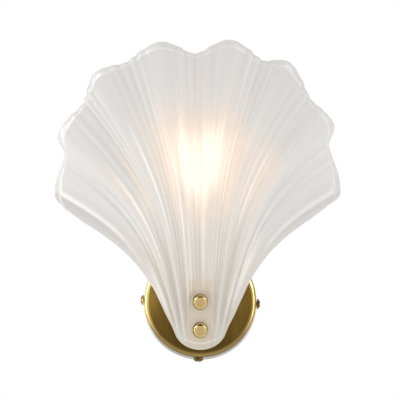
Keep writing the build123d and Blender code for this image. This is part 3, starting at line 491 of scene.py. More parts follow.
def sheet(rib, s):
    """The smooth sheet under the relief: it rises from the tail and its sides turn back."""
    corner = eased((np.abs(rib) - HALF_LOBES + CORNER_RIBS) / CORNER_RIBS)
    corner = corner * eased((s - (1 - CORNER_RUN)) / CORNER_RUN)
    rib = rib - CORNER_PULL * corner * np.sign(rib)
    tail_x, tail_z = tail_point(rib)
    rim_x, rim_z = rim_point(rib)
    length = np.hypot(rim_x - tail_x, rim_z - tail_z)
    side = np.where(rib >= 0, 1.0, -1.0)
    share = np.abs(rib) / HALF_LOBES
    leave = np.radians(TAIL_SPLAY * share ** TAIL_SPLAY_POWER) * side
    excess = RIM_SPLAY_STEP * HALF_LOBES - EDGE_SPLAY
    arrive = np.radians(RIM_SPLAY_STEP * np.abs(rib) - excess * share ** EDGE_SPLAY_POWER) * side
    leave_by, arrive_by = TAIL_PULL * length, RIM_PULL * length
    across = (tail_x, tail_x + leave_by * np.sin(leave), rim_x - arrive_by * np.sin(arrive), rim_x)
    upward = (tail_z, tail_z + leave_by * np.cos(leave), rim_z - arrive_by * np.cos(arrive), rim_z)
    weights = ((1 - s) ** 3, 3 * s * (1 - s) ** 2, 3 * s * s * (1 - s), s ** 3)
    x = sum(w * p for w, p in zip(weights, across))
    z = sum(w * p for w, p in zip(weights, upward))
    run = travel(s)
    lean = (tail_z - tail_point(np.zeros(1))[1]) * np.tan(SEAT_TILT)
    out = TAIL_OUT + lean * (1 - run) ** 2 + RISE * run + BELLY * run * run * (1 - run)
    wrap = TAIL_WRAP + (RIM_WRAP - TAIL_WRAP) * run ** WRAP_RUN_POWER
    outer = np.clip(np.abs(rib) - (HALF_LOBES - 0.5), 0, None) / 0.5
    flange = FLANGE_TURN * outer ** FLANGE_POWER * eased(run / FLANGE_RISE)
    return np.stack([x, wrap * share ** WRAP_SIDE_POWER + flange - out, z], axis=-1)


BAND_PLAIN = 3.0          # width of the bevelled edge in the notches, and how much wider it is on the lobes
BAND_LOBE = 2.6
BAND_TAIL = 5.4           # at the tail's end, in the middle
BAND_TAIL_RUN = 0.3       # the run over which the tail's band becomes the plain one

columns = np.linspace(-HALF_LOBES, HALF_LOBES, int(2 * HALF_LOBES * COLUMNS_PER_LOBE) + 1)
between_columns = (columns[:SIDE_COLUMNS] + columns[1:SIDE_COLUMNS + 1]) / 2
columns = np.sort(np.concatenate([columns, between_columns, -between_columns]))
edge_rows = np.arange(EDGE_ROW_COUNT) * EDGE_ROW_STEP
edge_end = EDGE_ROW_COUNT * EDGE_ROW_STEP
rows = np.concatenate([edge_rows, np.linspace(edge_end, 1 - edge_end, MIDDLE_ROWS), 1 - edge_rows[::-1]])
rib, s = [field.ravel() for field in np.meshgrid(columns, rows, indexing="ij")]
run = travel(s)
rib_low, rib_high = np.clip(rib - NUDGE, -HALF_LOBES, None), np.clip(rib + NUDGE, None, HALF_LOBES)
s_low, s_high = np.clip(s - NUDGE, 0, None), np.clip(s + NUDGE, None, 1)
surface = sheet(rib, s)
per_rib = (sheet(rib_high, s) - sheet(rib_low, s)) / (rib_high - rib_low)[:, None]
per_s = (sheet(rib, s_high) - sheet(rib, s_low)) / (s_high - s_low)[:, None]
upright = np.cross(per_rib, per_s)
cell = np.linalg.norm(upright, axis=1)
upright /= cell[:, None]
to_end = np.minimum(s, 1 - s) * cell / np.linalg.norm(per_rib, axis=1)
to_side = (HALF_LOBES - np.abs(rib)) * cell / np.linalg.norm(per_s, axis=1)
crest = (1 + np.cos(2 * pi * np.abs(rib % 1.0 - 0.5))) / 2
near_tail = 1 - eased(run / BAND_TAIL_RUN)
tail_band = BAND_TAIL + (BAND_PLAIN - BAND_TAIL) * (np.abs(rib) / HALF_LOBES) ** 2
band = (BAND_PLAIN + BAND_LOBE * crest) * (1 - near_tail) + tail_band * near_tail
border = np.minimum(to_end, to_side) / band      # 0 at the edge, 1 where the bevel begins

# Painted highlights (SHINES) and painted shade lines (SHADES) along single ribs of the glass. Each has its
# rib, the run where it starts and ends, and its strength.
SHINES = (
    (-3.05, 0.30, 0.85, 0.35), (-2.36, 0.20, 0.80, 0.70), (-2.18, 0.42, 0.74, 0.45),
    (-2.02, 0.30, 0.72, 0.45), (-1.40, 0.30, 0.84, 0.80), (-1.05, 0.16, 0.50, 0.65),
    (-0.62, 0.25, 0.72, 0.60), (-0.38, 0.13, 0.50, 0.60), (0.15, 0.16, 0.62, 0.75),
    (0.87, 0.18, 0.52, 0.60), (1.07, 0.16, 0.55, 0.90), (1.55, 0.20, 0.60, 0.40),
    (1.98, 0.35, 0.82, 0.65), (2.62, 0.20, 0.60, 0.50),
)
SHADES = (
    (-1.90, 0.25, 0.80, 0.50), (-1.20, 0.20, 0.70, 0.40), (-0.48, 0.35, 0.85, 0.60),
    (-0.10, 0.35, 1.00, 0.80), (0.10, 0.40, 1.10, 0.60), (0.74, 0.30, 0.85, 0.80), (1.35, 0.20, 0.70, 0.40),
)
# Broad painted highlights and broad painted shade on the flanks, given in the same way.
BROAD_HIGHLIGHTS = ((-3.34, 0.05, 0.46, 0.75), (2.50, 0.05, 0.38, 0.35), (3.20, 0.08, 0.56, 0.70))
BROAD_SHADES = ((-3.42, 0.34, 0.72, 1.0), (3.52, 0.34, 0.64, 0.5))
LINE_HALF_WIDTH, RIDGE_HALF_WIDTH = 0.024, 0.13
LINE_FADE_IN, LINE_FADE_OUT = 0.15, 0.25
# The painted highlight on the raised line along the edge dims on the flanks up to a run, and on the rim to
# the right of a rib.
SIDE_LINE_RUN, SIDE_LINE_FADE, SIDE_LINE_LOSS = 0.46, 0.2, 0.9
RIM_LINE_RIB, RIM_LINE_RIBS, RIM_LINE_RISE, RIM_LINE_LOSS = -2.4, 0.8, 0.4, 0.5


def lines(table, half_width):
    """Lines along single ribs, each fading in and out over its stretch of run."""
    total = np.zeros_like(rib)
    for at_rib, start, end, strength in table:
        stretch = eased((run - start) / LINE_FADE_IN) * eased((end - run) / LINE_FADE_OUT)
        total = np.maximum(total, strength * stretch * np.exp(-((rib - at_rib) / half_width) ** 2))
    return total


# painted highlights and painted shade lines, kept on the mesh for the finish
shine = np.maximum(lines(SHINES, LINE_HALF_WIDTH), lines(BROAD_HIGHLIGHTS, RIDGE_HALF_WIDTH))
shadow_line = np.maximum(lines(SHADES, LINE_HALF_WIDTH), lines(BROAD_SHADES, RIDGE_HALF_WIDTH))
flank_fade = (to_side < to_end) * (1 - eased((run - SIDE_LINE_RUN) / SIDE_LINE_FADE)) * SIDE_LINE_LOSS
rim_fade = RIM_LINE_LOSS * eased((rib - RIM_LINE_RIB) / RIM_LINE_RIBS) * eased(run / RIM_LINE_RISE)
line_fade = np.maximum(flank_fade, rim_fade)

LAND_BLEND, LAND_BLEND_START = 2.5, 1.5      # where the land meets the lobes, begun inside its edge
LAND_BORDER = 0.4                            # and where it meets the bevel, in border bands
seat_up = np.array([0, -sin(SEAT_TILT), cos(SEAT_TILT)])
seat_out = np.array([0, -cos(SEAT_TILT), -sin(SEAT_TILT)])
from_seat = surface - np.array([0, -SEAT_OUT, SEAT_Z])
along = from_seat @ seat_up
past_bolts = np.clip(np.abs(along) - BOLT_SPACING / 2, 0, None)
from_bolts = np.hypot(from_seat[:, 0], past_bolts)
land = 1 - eased((from_bolts - LAND_HALF_WIDTH + LAND_BLEND_START) / LAND_BLEND)
land = land * eased((border - 1.0) / LAND_BORDER)
land_height = -(from_seat @ seat_out) / (upright @ seat_out)

count = len(rib)
index = np.arange(count).reshape(len(columns), len(rows))
front = np.stack([index[:-1, :-1], index[1:, :-1], index[1:, 1:], index[:-1, 1:]], axis=-1).reshape(-1, 4)
back = front[:, ::-1] + count
loop = np.concatenate([index[:, 0], index[-1, 1:], index[-2::-1, -1], index[0, -2:0:-1]])
onward = np.roll(loop, -1)
edge = np.stack([onward, loop, loop + count, onward + count], axis=-1)
faces = np.concatenate([front, back, edge])

blank = bpy.data.meshes.new("glass_blank")
blank.from_pydata(np.concatenate([surface, surface]) * MM, [], faces.tolist())
marks = {"rib": rib, "run": run, "border": border, "land": land, "land_height": land_height, "shine": shine,
         "shadow_line": shadow_line, "line_fade": line_fade}
for name, field in marks.items():
    blank.attributes.new(name, "FLOAT", "POINT").data.foreach_set("value", np.concatenate([field, field]))
on_back = np.concatenate([np.zeros(count), np.ones(count)])
blank.attributes.new("behind", "FLOAT", "POINT").data.foreach_set("value", on_back)
uprights = np.concatenate([upright, upright]).ravel()
blank.attributes.new("upright", "FLOAT_VECTOR", "POINT").data.foreach_set("vector", uprights)

# The bulb's light in the frosted glass, painted on as emission: a white core, a peach halo, streaked patches
# beside them and an even light everywhere. Each has its colour and the stretch over which it fades.
GLOW_RIB, GLOW_RUN = 0.12, 0.612             # the middle of the glow
GLOW_HALF_RIBS, GLOW_HALF_RUN = 0.76, 0.108
GLOW_SQUARENESS = 2.5
DARK = (0.0, 0.0, 0.0)
CORE_GLOW, CORE_REACH = (0.272, 0.272, 0.262), (0.45, 1.45)
HALO_GLOW, HALO_REACH, HALO_TOP = (0.15, 0.075, 0.012), (0.8, 2.6), (0.76, 0.86)
CREASE_GLOW, CREASE_REACH = (0.12, 0.045, 0.0), (1.0, 2.8)
WIDE_GLOW, WIDE_REACH = (0.060, 0.052, 0.042), (1.0, 4.2)
RIGHT_GLOW, RIGHT_RIB, RIGHT_RIBS, RIGHT_RUN = (0.095, 0.042, 0.006), 1.55, (0.2, 1.1), 0.60
SIDE_RIB, SIDE_HALF_RIBS, SIDE_RIBS, SIDE_RUN = 2.1, 0.6, (0.2, 1.0), 0.62    # in the halo's colour
PATCH_HALF_RUN, PATCH_RUNS = 0.2, (0.3, 1.0)
FLANK_GLOW, FLANK_SIDE, FLANK_BASE = (0.050, 0.048, 0.046), (3.0, 1.5), (0.45, 0.20)
EVEN_GLOW = (0.197, 0.192, 0.186)
SHADED_GLOW = (0.58, 0.44, 0.28)             # what the painted shade lines let through of the glow
GLOW_LINES = (0.84, 0.82, 0.78), (1.06, 1.07, 1.08)

# What tones the glass: the strap and canopy seen through it, and painted light and shade; heights and widths
# in metres, the rest in ribs and shares of run.
STRAP_WIDTH, STRAP_TOP, STRAP_SHOWS = (0.0085, 0.0125), (0.012, 0.022), 0.85
CANOPY_TOP = (0.010, 0.060)                  # the canopy's brown shows through up to here
TAIL_TONES_START, TAIL_TONES_END = (0.13, 0.05), (0.25, 0.60)
PAINTED_VALLEY_SHADE, PAINTED_CREST_LIGHT, PLAIN_LOBE = (0.42, 0.20), (0.10, 0.30), (0.08, 0.26)     # by distance from a lobe's middle: painted shade in the tail's valleys, painted light on its crests, plain lobes
FINE_FLUTES_END = (3.30, 3.42)
NO_FLUTES = (0.5, 0.5, 0.5)
RIGHT_FLANK = (0.0, -3.0)                    # the folded right flank is painted lighter than the left
EDGE_BAND, EDGE_SHOWS = (0.60, 1.1), 0.85
GLASS_TONE = (0.655, 0.655, 0.655)


def fade(field, near, far):
    """1 up to the near distance, 0 from the far one."""
    return remap(field, near, far, 1.0, 0.0, "SMOOTHSTEP")


def mark(material, name):
    """A number stored on the mesh."""
    return wired(material.node_tree, "ShaderNodeAttribute", "Fac", {"attribute_name": name})


def streaks(material, across, along, low, high):
    """Long soft streaks that follow the ribs, from low to high."""
    on_ribs = wired(material.node_tree, "ShaderNodeCombineXYZ", "Vector",
                    X=mark(material, "rib") * across, Y=mark(material, "run") * along)
    return remap(noise(on_ribs, 1.5), 0.35, 0.65, low, high)


def off(field, middle, half):
    """Distance of a field from its middle, in halves."""
    return abs((field - middle) / half)


def greater(a, b):
    """The greater of two fields."""
    return compute(a.tree, "MAXIMUM", a, b)


def painted(colour, coats):
    """Lays colours over one another, each by its own share."""
    for share, coat in coats:
        colour = blend(share, colour, coat)
    return colour


def tinted(colour, *tints):
    """A colour with tints multiplied into it."""
    for tint in tints:
        colour = blend(1.0, colour, tint, "MULTIPLY")
    return colour


frost = new_finish("frosted_glass", (0.80, 0.775, 0.745), 0.36, IOR=1.46, Transmission_Weight=0.10,
                   Coat_Weight=0.7, Coat_Roughness=0.16, Emission_Strength=1.0)
rib_at, run_at, crease = mark(frost, "rib"), mark(frost, "run"), mark(frost, "crease")
from_middle = abs(rib_at)
off_lobe = abs(rib_at % 1.0 - 0.5)
x, _, z = axes(place_on(frost))

across = off(rib_at, GLOW_RIB, GLOW_HALF_RIBS) ** GLOW_SQUARENESS
upward = off(run_at, GLOW_RUN, GLOW_HALF_RUN) ** GLOW_SQUARENESS
reach = (across + upward) ** (1 / GLOW_SQUARENESS) * streaks(frost, 8.0, 1.5, 0.84, 1.24)
side_patch = fade(off(from_middle, SIDE_RIB, SIDE_HALF_RIBS), *SIDE_RIBS)
side_patch = side_patch * fade(off(run_at, SIDE_RUN, PATCH_HALF_RUN), *PATCH_RUNS)
side_patch = side_patch * streaks(frost, 6.0, 2.0, 0.0, 0.75)
right_patch = fade(off(rib_at, RIGHT_RIB, 1.0), *RIGHT_RIBS)
right_patch = right_patch * fade(off(run_at, RIGHT_RUN, PATCH_HALF_RUN), *PATCH_RUNS)
right_patch = right_patch * streaks(frost, 9.0, 1.5, 0.25, 1.0)
halo = greater(fade(reach, *HALO_REACH) * fade(run_at, *HALO_TOP), side_patch)
glow = blend(fade(reach, *CORE_REACH), DARK, CORE_GLOW)
for share, light in (
    (halo, HALO_GLOW),
    (fade(reach, *CREASE_REACH) * crease, CREASE_GLOW),
    (fade(reach, *WIDE_REACH), WIDE_GLOW),
    (right_patch, RIGHT_GLOW),
    (fade(from_middle, *FLANK_SIDE) * fade(run_at, *FLANK_BASE), FLANK_GLOW),
):
    glow = blend(1.0, glow, blend(share, DARK, light), "ADD")
glow = blend(mark(frost, "shadow_line"), glow, tinted(glow, SHADED_GLOW))
glow = tinted(glow, blend(streaks(frost, 15.0, 1.0, 0.0, 1.0), *GLOW_LINES))
plug(blend(1.0, glow, EVEN_GLOW, "ADD"), shader_input(frost, "Emission Color"))

over_strap = fade(abs(x), *STRAP_WIDTH) * fade(z, *STRAP_TOP)
over_canopy = fade(z, *CANOPY_TOP)
at_tail = fade(run_at, *TAIL_TONES_END) * fade(run_at, *TAIL_TONES_START) * (1.0 - mark(frost, "land"))
fine_flutes = blend(0.45, streaks(frost, 20.0, 1.0, 0.0, 1.0), streaks(frost, 46.0, 1.0, 0.0, 1.0))
fine_flutes = blend(fade(off_lobe, *PLAIN_LOBE), fine_flutes, NO_FLUTES)
fine_flutes = fine_flutes * fade(from_middle, *FINE_FLUTES_END)
# painted shade: the creases between the fine flutes are darker
body = blend(crease, (0.83, 0.81, 0.79), (0.78, 0.755, 0.725))
body = painted(body, (
    # painted light: the bulb's halo warms the glass's colour too
    (halo, (0.82, 0.75, 0.66)),
    (over_canopy, (0.80, 0.74, 0.63)),
    # painted shade in the tail's valleys and painted light on its crests
    (at_tail * fade(off_lobe, *PAINTED_VALLEY_SHADE), (0.74, 0.64, 0.48)),
    (at_tail * fade(off_lobe, *PAINTED_CREST_LIGHT), (0.86, 0.80, 0.71)),
    (over_strap * STRAP_SHOWS, (0.79, 0.62, 0.37)),
    # painted shade on the folded flanks, lighter on the right
    (mark(frost, "folded"), blend(fade(rib_at, *RIGHT_FLANK), (0.58, 0.545, 0.51), (0.68, 0.645, 0.61))),
))
body = tinted(
    body,
    blend(grain(frost, 0.018, detail=2), (0.95, 0.95, 0.95), (1.0, 1.0, 1.0)),
    blend(fine_flutes, (0.90, 0.89, 0.88), (1.08, 1.08, 1.08)),
    GLASS_TONE,
)
# painted shade lines, painted highlights on the edge, fold and flute crowns and along ribs, then the
# canopy's brown through the edge band
body = painted(body, (
    (mark(frost, "shadow_line"), (0.55, 0.51, 0.46)),
    (mark(frost, "edge_highlight"), (0.73, 0.72, 0.70)),
    (mark(frost, "shine"), (0.97, 0.965, 0.95)),
    (fade(mark(frost, "border"), *EDGE_BAND) * (over_canopy * EDGE_SHOWS), (0.46, 0.39, 0.28)),
))
plug(body, shader_input(frost, "Base Color"))
emboss(frost, grain(frost, 0.0005, detail=2), 0.00002, 0.5)
emboss(frost, fine_flutes, 0.0003, 0.8)

# The relief that is pressed into the sheet. Sizes are in metres, places in ribs, runs or border bands.
FLANK_RIBS, FLANK_RUN = (2.2, 2.9), (0.70, 0.97)      # where the fine flutes run out near the rim
RIDGE_PLACE, RIDGE_HALF = 1.05, 0.10                  # the raised line inside the bevel
FOLD_HALF, FOLD_RUN, FOLD_CLEAR = 0.03, (0.22, 0.5), (1.0, 1.5)      # the line where the flanks fold back
FOLD_SHOWS = 0.06                                     # ribs over which the folded part takes its painted shade
CROWN_FADE_IN, CROWN_FADE_OUT, CROWN_LIGHT = (0.12, 0.3), (0.85, 0.45), 0.4     # painted highlight on the crowns of the flutes
DRILL_LENGTH = 30 * MM
SOCKETS = (
    ("Lobe Relief", 3.2 * MM), ("Flute Relief", 0.8 * MM), ("Flute Start", FLUTE_START),
    ("Flutes Per Side", float(FLUTES_PER_SIDE)), ("Fluted Ribs", HALF_LOBES - PLAIN_FLANGE),
    ("Relief Rise", 0.16), ("Flute Rise", 0.3), ("Glass Wall", 4.5 * MM), ("Bevel Drop", 3.6 * MM),
    ("Bevel Ridge", 0.28 * MM), ("Fold Rib", HALF_LOBES - 0.52), ("Fold Drop", 3.4 * MM),
    ("Fold Ridge", 0.5 * MM), ("Land Wall", 5.6 * MM), ("Bolt Spacing", BOLT_SPACING * MM),
    ("Hole Radius", 3.4 * MM),
)


def named_field(tree, name, kind="FLOAT"):
    """A named attribute of the mesh."""
    return wired(tree, "GeometryNodeInputNamedAttribute", "Attribute", {"data_type": kind}, Name=name)


def smooth_step(field, low, high):
    """Rises smoothly from 0 at low to 1 at high."""
    return remap((field - low) / (high - low), 0.0, 1.0, interpolation="SMOOTHSTEP")


def bell(off_middle):
    """A rounded ridge: 1 in its middle and near 0 at twice its half width."""
    return compute(off_middle.tree, "EXPONENT", off_middle * off_middle * -1.0)


def between(share, a, b):
    """Straight mix of a and b."""
    return share * (b - a) + a


def stored(geometry, name, field):
    """Keeps a field on the mesh under a name, for the finish to read."""
    return wired(geometry.tree, "GeometryNodeStoreNamedAttribute", "Geometry", {"data_type": "FLOAT"},
                 Geometry=geometry, Name=name, Value=field)


def pressed_relief():
    """The node tree that presses lobes, flutes, bevel, fold and land into the sheet and drills the holes."""
    tree = bpy.data.node_groups.new("Pressed relief", "GeometryNodeTree")
    tree.interface.new_socket("Geometry", in_out="INPUT", socket_type="NodeSocketGeometry")
    for name, value in SOCKETS:
        tree.interface.new_socket(name, in_out="INPUT", socket_type="NodeSocketFloat").default_value = value
    tree.interface.new_socket("Finish", in_out="INPUT", socket_type="NodeSocketMaterial")
    tree.interface.new_socket("Geometry", in_out="OUTPUT", socket_type="NodeSocketGeometry")
    given = {socket.name: Field(tree, socket) for socket in tree.nodes.new("NodeGroupInput").outputs}
    rib, run, border = named_field(tree, "rib"), named_field(tree, "run"), named_field(tree, "border")
    land, behind = named_field(tree, "land"), named_field(tree, "behind")

    off_crest = abs(rib % 1.0 - 0.5)
    lobe = compute(tree, "COSINE", off_crest * (2 * pi)) * 0.5 + 0.5
    past_lobe = off_crest - given["Flute Start"]
    flute_width = (0.5 - given["Flute Start"]) / given["Flutes Per Side"]
    fluted = (past_lobe > 0.0) * (abs(rib) < given["Fluted Ribs"])
    flute = abs(compute(tree, "SINE", past_lobe / flute_width * pi)) * fluted
    fine_end = given["Relief Rise"] + given["Flute Rise"]
    flank = smooth_step(abs(rib), *FLANK_RIBS) * smooth_step(run, *FLANK_RUN)
    fine = smooth_step(run, given["Relief Rise"], fine_end) * (1.0 - flank)
    relief = (lobe * smooth_step(run, 0.0, given["Relief Rise"]) * given["Lobe Relief"]
              + flute * fine * given["Flute Relief"])

    outside = 1.0 - compute(tree, "MINIMUM", border, 1.0)
    off_land = 1.0 - land
    ridge = bell((border - RIDGE_PLACE) / RIDGE_HALF)
    past_fold = abs(rib) - given["Fold Rib"]
    folded = smooth_step(run, *FOLD_RUN)
    fold_line = bell(past_fold / FOLD_HALF) * (folded * smooth_step(border, *FOLD_CLEAR))
    fold_share = greater(past_fold, 0.0) / (HALF_LOBES - given["Fold Rib"])
    face = fold_line * given["Fold Ridge"] + (ridge * given["Bevel Ridge"] + relief)
    bevel_back = outside * (outside * 0.5 + 0.5) * given["Bevel Drop"] * off_land
    set_back = greater(bevel_back, fold_share * folded * given["Fold Drop"]) * (1.0 - behind)
    level = named_field(tree, "land_height") * MM
    front = between(land, face, level)
    rear = between(land, relief - given["Glass Wall"], level - given["Land Wall"])
    lift = scaled(named_field(tree, "upright", "FLOAT_VECTOR"), between(behind, front, rear))
    backward = wired(tree, "ShaderNodeCombineXYZ", "Vector", Y=set_back)
    offset = compute(tree, "ADD", lift, backward, kind="ShaderNodeVectorMath", output="Vector")
    pressed = wired(tree, "GeometryNodeSetPosition", "Geometry", Geometry=given["Geometry"], Offset=offset)

    crown = flute ** 6.0 * smooth_step(run, *CROWN_FADE_IN) * smooth_step(run, *CROWN_FADE_OUT)
    # painted highlight along the bevel's raised line, the fold line and the crowns of the flutes
    bright = greater(ridge * off_land, fold_line) * (1.0 - named_field(tree, "line_fade"))
    marked = stored(pressed, "crease", ((1.0 - flute) * (fine * fluted)) ** 2.0)
    marked = stored(marked, "folded", smooth_step(past_fold, 0.0, FOLD_SHOWS) * folded)
    marked = stored(marked, "edge_highlight", greater(bright, crown * CROWN_LIGHT))

    drill = wired(tree, "GeometryNodeMeshCylinder", "Mesh", Vertices=48, Depth=DRILL_LENGTH,
                  Radius=given["Hole Radius"])
    first_bolt = wired(tree, "ShaderNodeCombineXYZ", "Vector", Y=given["Bolt Spacing"] * -0.5)
    to_next = wired(tree, "ShaderNodeCombineXYZ", "Vector", Y=given["Bolt Spacing"])
    bolts = wired(tree, "GeometryNodeMeshLine", "Mesh", Count=2, Start_Location=first_bolt, Offset=to_next)
    drills = wired(tree, "GeometryNodeInstanceOnPoints", "Instances", Points=bolts, Instance=drill)
    on_seat = wired(tree, "GeometryNodeTransform", "Geometry", Geometry=drills,
                    Translation=(0, -SEAT_OUT * MM, SEAT_Z * MM), Rotation=(pi / 2 + SEAT_TILT, 0, 0))
    real_drills = wired(tree, "GeometryNodeRealizeInstances", "Geometry", Geometry=on_seat)
    setup = {"operation": "DIFFERENCE", "solver": "MANIFOLD"}
    drilled = wired(tree, "GeometryNodeMeshBoolean", "Mesh", setup, Mesh_1=marked, Mesh_2=real_drills)
    coated = wired(tree, "GeometryNodeSetMaterial", "Geometry", Geometry=drilled, Material=given["Finish"])
    plug(coated, tree.nodes.new("NodeGroupOutput").inputs["Geometry"])
    return tree


def grown(name, blank, tree, settings, crisp):
    """Runs a node tree on a mesh and keeps the result as a plain mesh."""
    carrier = bpy.data.objects.new(name + "_blank", blank)
    bpy.context.scene.collection.objects.link(carrier)
    modifier = carrier.modifiers.new("grow", "NODES")
    modifier.node_group = tree
    for socket in tree.interface.items_tree:
        if socket.in_out == "INPUT" and socket.name in settings:
            modifier[socket.identifier] = settings[socket.name]
    evaluated = carrier.evaluated_get(bpy.context.evaluated_depsgraph_get())
    mesh = bpy.data.meshes.new_from_object(evaluated)
    carrier.modifiers.remove(modifier)
    bpy.data.objects.remove(carrier)
    mesh.name = name
    return settled(mesh, name, crisp)


shell = grown("fluted_shell", blank, pressed_relief(), {"Finish": frost}, crisp=50)
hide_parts("glass_shell")
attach(shell, "root")


# ---- cap nuts ----
# Round brass cap nuts on the ends of the bolts, polished and lacquered, with a flat spun face. They are all
# that shows of the glass's fixing. A darker ring of painted shade runs round the dome's rim and at its foot.
NUT_R = 0.0068
NUT_FOOT = 0.0004            # bevel at the foot
NUT_BAND = 0.0046            # height of the straight side
NUT_HEIGHT = 0.0082
NUT_FACE_R = 0.0042
NUT_STEPS = 12               # of the rounding between side and face
FACE_STEP = 0.0002           # rings just inside the face's edge
WASHER_T = 0.0008
NUT_SHADE_START, NUT_SHADE_FADE = 0.86, 0.07           # painted shade: a darker ring round the dome, in nut radii
NUT_SHADE_TILT = Vector((0.06, 0.12))               # thinner to the right and at the top
FOOT_SHADE = 0.9

nut_brass = new_finish("polished_brass", (0.80, 0.58, 0.25), 0.07, Metallic=1.0)
faced = mark(nut_brass, "faced")
nut_tone = blend(grain(nut_brass, 0.004), (0.66, 0.47, 0.19), (0.78, 0.58, 0.26))
# painted shade round the dome's rim and at the foot
nut_tone = blend(mark(nut_brass, "painted_shade"), nut_tone, (0.16, 0.095, 0.015))
face_tone = blend(grain(nut_brass, 0.0009, (4, 1, 0.5)), (0.48, 0.35, 0.145), (0.66, 0.49, 0.23))
plug(blend(faced, nut_tone, face_tone), shader_input(nut_brass, "Base Color"))
plug(remap(faced, 0.0, 1.0, 0.06, 0.30), shader_input(nut_brass, "Roughness"))

nut_profile = [(0, 0), (NUT_R - NUT_FOOT, 0), (NUT_R, NUT_FOOT), (NUT_R, NUT_BAND)]
dome_r, dome_height = NUT_R - NUT_FACE_R, NUT_HEIGHT - NUT_BAND
for k in range(1, NUT_STEPS + 1):
    turn = k / NUT_STEPS * pi / 2
    nut_profile.append((NUT_FACE_R + dome_r * cos(turn), NUT_BAND + dome_height * sin(turn)))
nut_profile += [(NUT_FACE_R - FACE_STEP, NUT_HEIGHT), (NUT_FACE_R - 2 * FACE_STEP, NUT_HEIGHT)]
nut_profile.append((0, NUT_HEIGHT))
SEAT = OUTWARD @ Matrix.Translation((0, SEAT_Z * MM, SEAT_OUT * MM)) @ Matrix.Rotation(SEAT_TILT, 4, "X")


def is_face(spot):
    """1 on the flat face, 0 on the rest of the nut."""
    return float(spot.z > NUT_HEIGHT / 2 and spot.xy.length < NUT_FACE_R - 1.5 * FACE_STEP)


def painted_shade_at(spot):
    """How much painted shade the nut has at a spot: round the dome's rim and at its foot."""
    past = spot.xy.length - NUT_SHADE_TILT @ spot.xy - NUT_SHADE_START * NUT_R
    foot = FOOT_SHADE * (spot.z < NUT_BAND / 2)
    return float(max(eased(past / (NUT_SHADE_FADE * NUT_R)), foot))


for node, side in (("upper_cap_nut", 1), ("lower_cap_nut", -1)):
    place = SEAT @ Matrix.Translation((0, side * BOLT_SPACING / 2 * MM, WASHER_T))
    nut = turned(node.replace("cap_nut", "nut_polished"), nut_profile, place, steps=72, crisp=40)
    spots = [place.inverted() @ vertex.co for vertex in nut.data.vertices]
    for name, rule in (("faced", is_face), ("painted_shade", painted_shade_at)):
        layer = nut.data.attributes.new(name, "FLOAT", "POINT")
        layer.data.foreach_set("value", [rule(spot) for spot in spots])
    nut.data.materials.append(nut_brass)
    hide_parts(node)
    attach(nut, "root")


# ---- side screws ----
# Three brass pan-head screws, slotted, that hold the canopy on the plate's ears. They are tarnished in
# patches; the one on the left is painted lighter, as lit from the left, and the other two darker, as in
# shade.
# painted light: the screw on the left is lighter, the others are painted darker as in shade
PAINTED_LIGHT_X = (-0.055, -0.030)
screw_brass = new_finish("screw_brass", (0.5, 0.34, 0.12), 0.16, Metallic=1.0)
tarnish = grain(screw_brass, 0.0013)
painted_left_light = fade(axes(place_on(screw_brass))[0], *PAINTED_LIGHT_X)
shaded_screw_brass = blend(tarnish, (0.045, 0.022, 0.003), (0.30, 0.185, 0.045))
lit_screw_brass = blend(tarnish, (0.30, 0.185, 0.045), (0.78, 0.56, 0.24))
plug(blend(painted_left_light, shaded_screw_brass, lit_screw_brass), shader_input(screw_brass, "Base Color"))
spread(screw_brass, tarnish, 0.10, 0.24)
dress(screw_brass, "side_screws")


# ---- lampholder ----
# Off-white moulded plastic in two halves, screwed together and onto the nipple. It stands upright behind
# the glass and takes the bulb from above.
plastic = new_finish("holder_plastic", (0.80, 0.785, 0.745), 0.38, Subsurface_Weight=0.1,
                     Subsurface_Scale=0.002)
shade(plastic, grain(plastic, 0.008), (0.76, 0.745, 0.70), (0.83, 0.815, 0.775))
emboss(plastic, grain(plastic, 0.0006), 0.000015)
dress(plastic, "holder_base", "holder_body")


# ---- bulb ----
# Opal glass globe on a nickel-plated screw cap, with a solder tip in a ring of black glass. It is lit, and
# glows more towards its top.
GLOBE_LIGHT = 0.62
globe_low, globe_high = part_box("bulb_globe")
opal = new_finish("opal_glass", (0.9, 0.87, 0.80), 0.22, Emission_Strength=GLOBE_LIGHT)
shade(opal, grain(opal, 0.009, detail=1), (0.50, 0.48, 0.43), (0.56, 0.54, 0.50))
above_neck = remap(axes(place_on(opal))[2], globe_low.z, globe_high.z)
shade(opal, above_neck, (0.30, 0.17, 0.07), (0.95, 0.80, 0.56), 0.0, 0.75, socket="Emission Color")
dress(opal, "bulb_globe")

clear = new_finish("clear_glass", (0.9, 0.93, 0.93), 0.05, Transmission_Weight=1.0, IOR=1.5)
spread(clear, grain(clear, 0.0024), 0.03, 0.09)
dress(clear, "bulb_stem")

filament = new_finish("filament", (1.0, 0.75, 0.3), 0.5, Emission_Strength=6.0)
shade(filament, grain(filament, 0.0004), (1.0, 0.55, 0.20), (1.0, 0.80, 0.45), socket="Emission Color")
dress(filament, "bulb_filaments")

nickel = new_finish("nickel_cap", (0.66, 0.65, 0.62), 0.22, Metallic=1.0)
rubbed = grain(nickel, 0.0012, (4, 4, 0.5))
shade(nickel, rubbed, (0.55, 0.54, 0.51), (0.72, 0.71, 0.67))
spread(nickel, rubbed, 0.16, 0.32)
dress(nickel, "bulb_cap")

black_glass = new_finish("black_glass", (0.01, 0.01, 0.012), 0.08)
pooled = grain(black_glass, 0.0016)
shade(black_glass, pooled, (0.006, 0.006, 0.008), (0.018, 0.017, 0.016))
spread(black_glass, pooled, 0.05, 0.16)
dress(black_glass, "bulb_insulator")

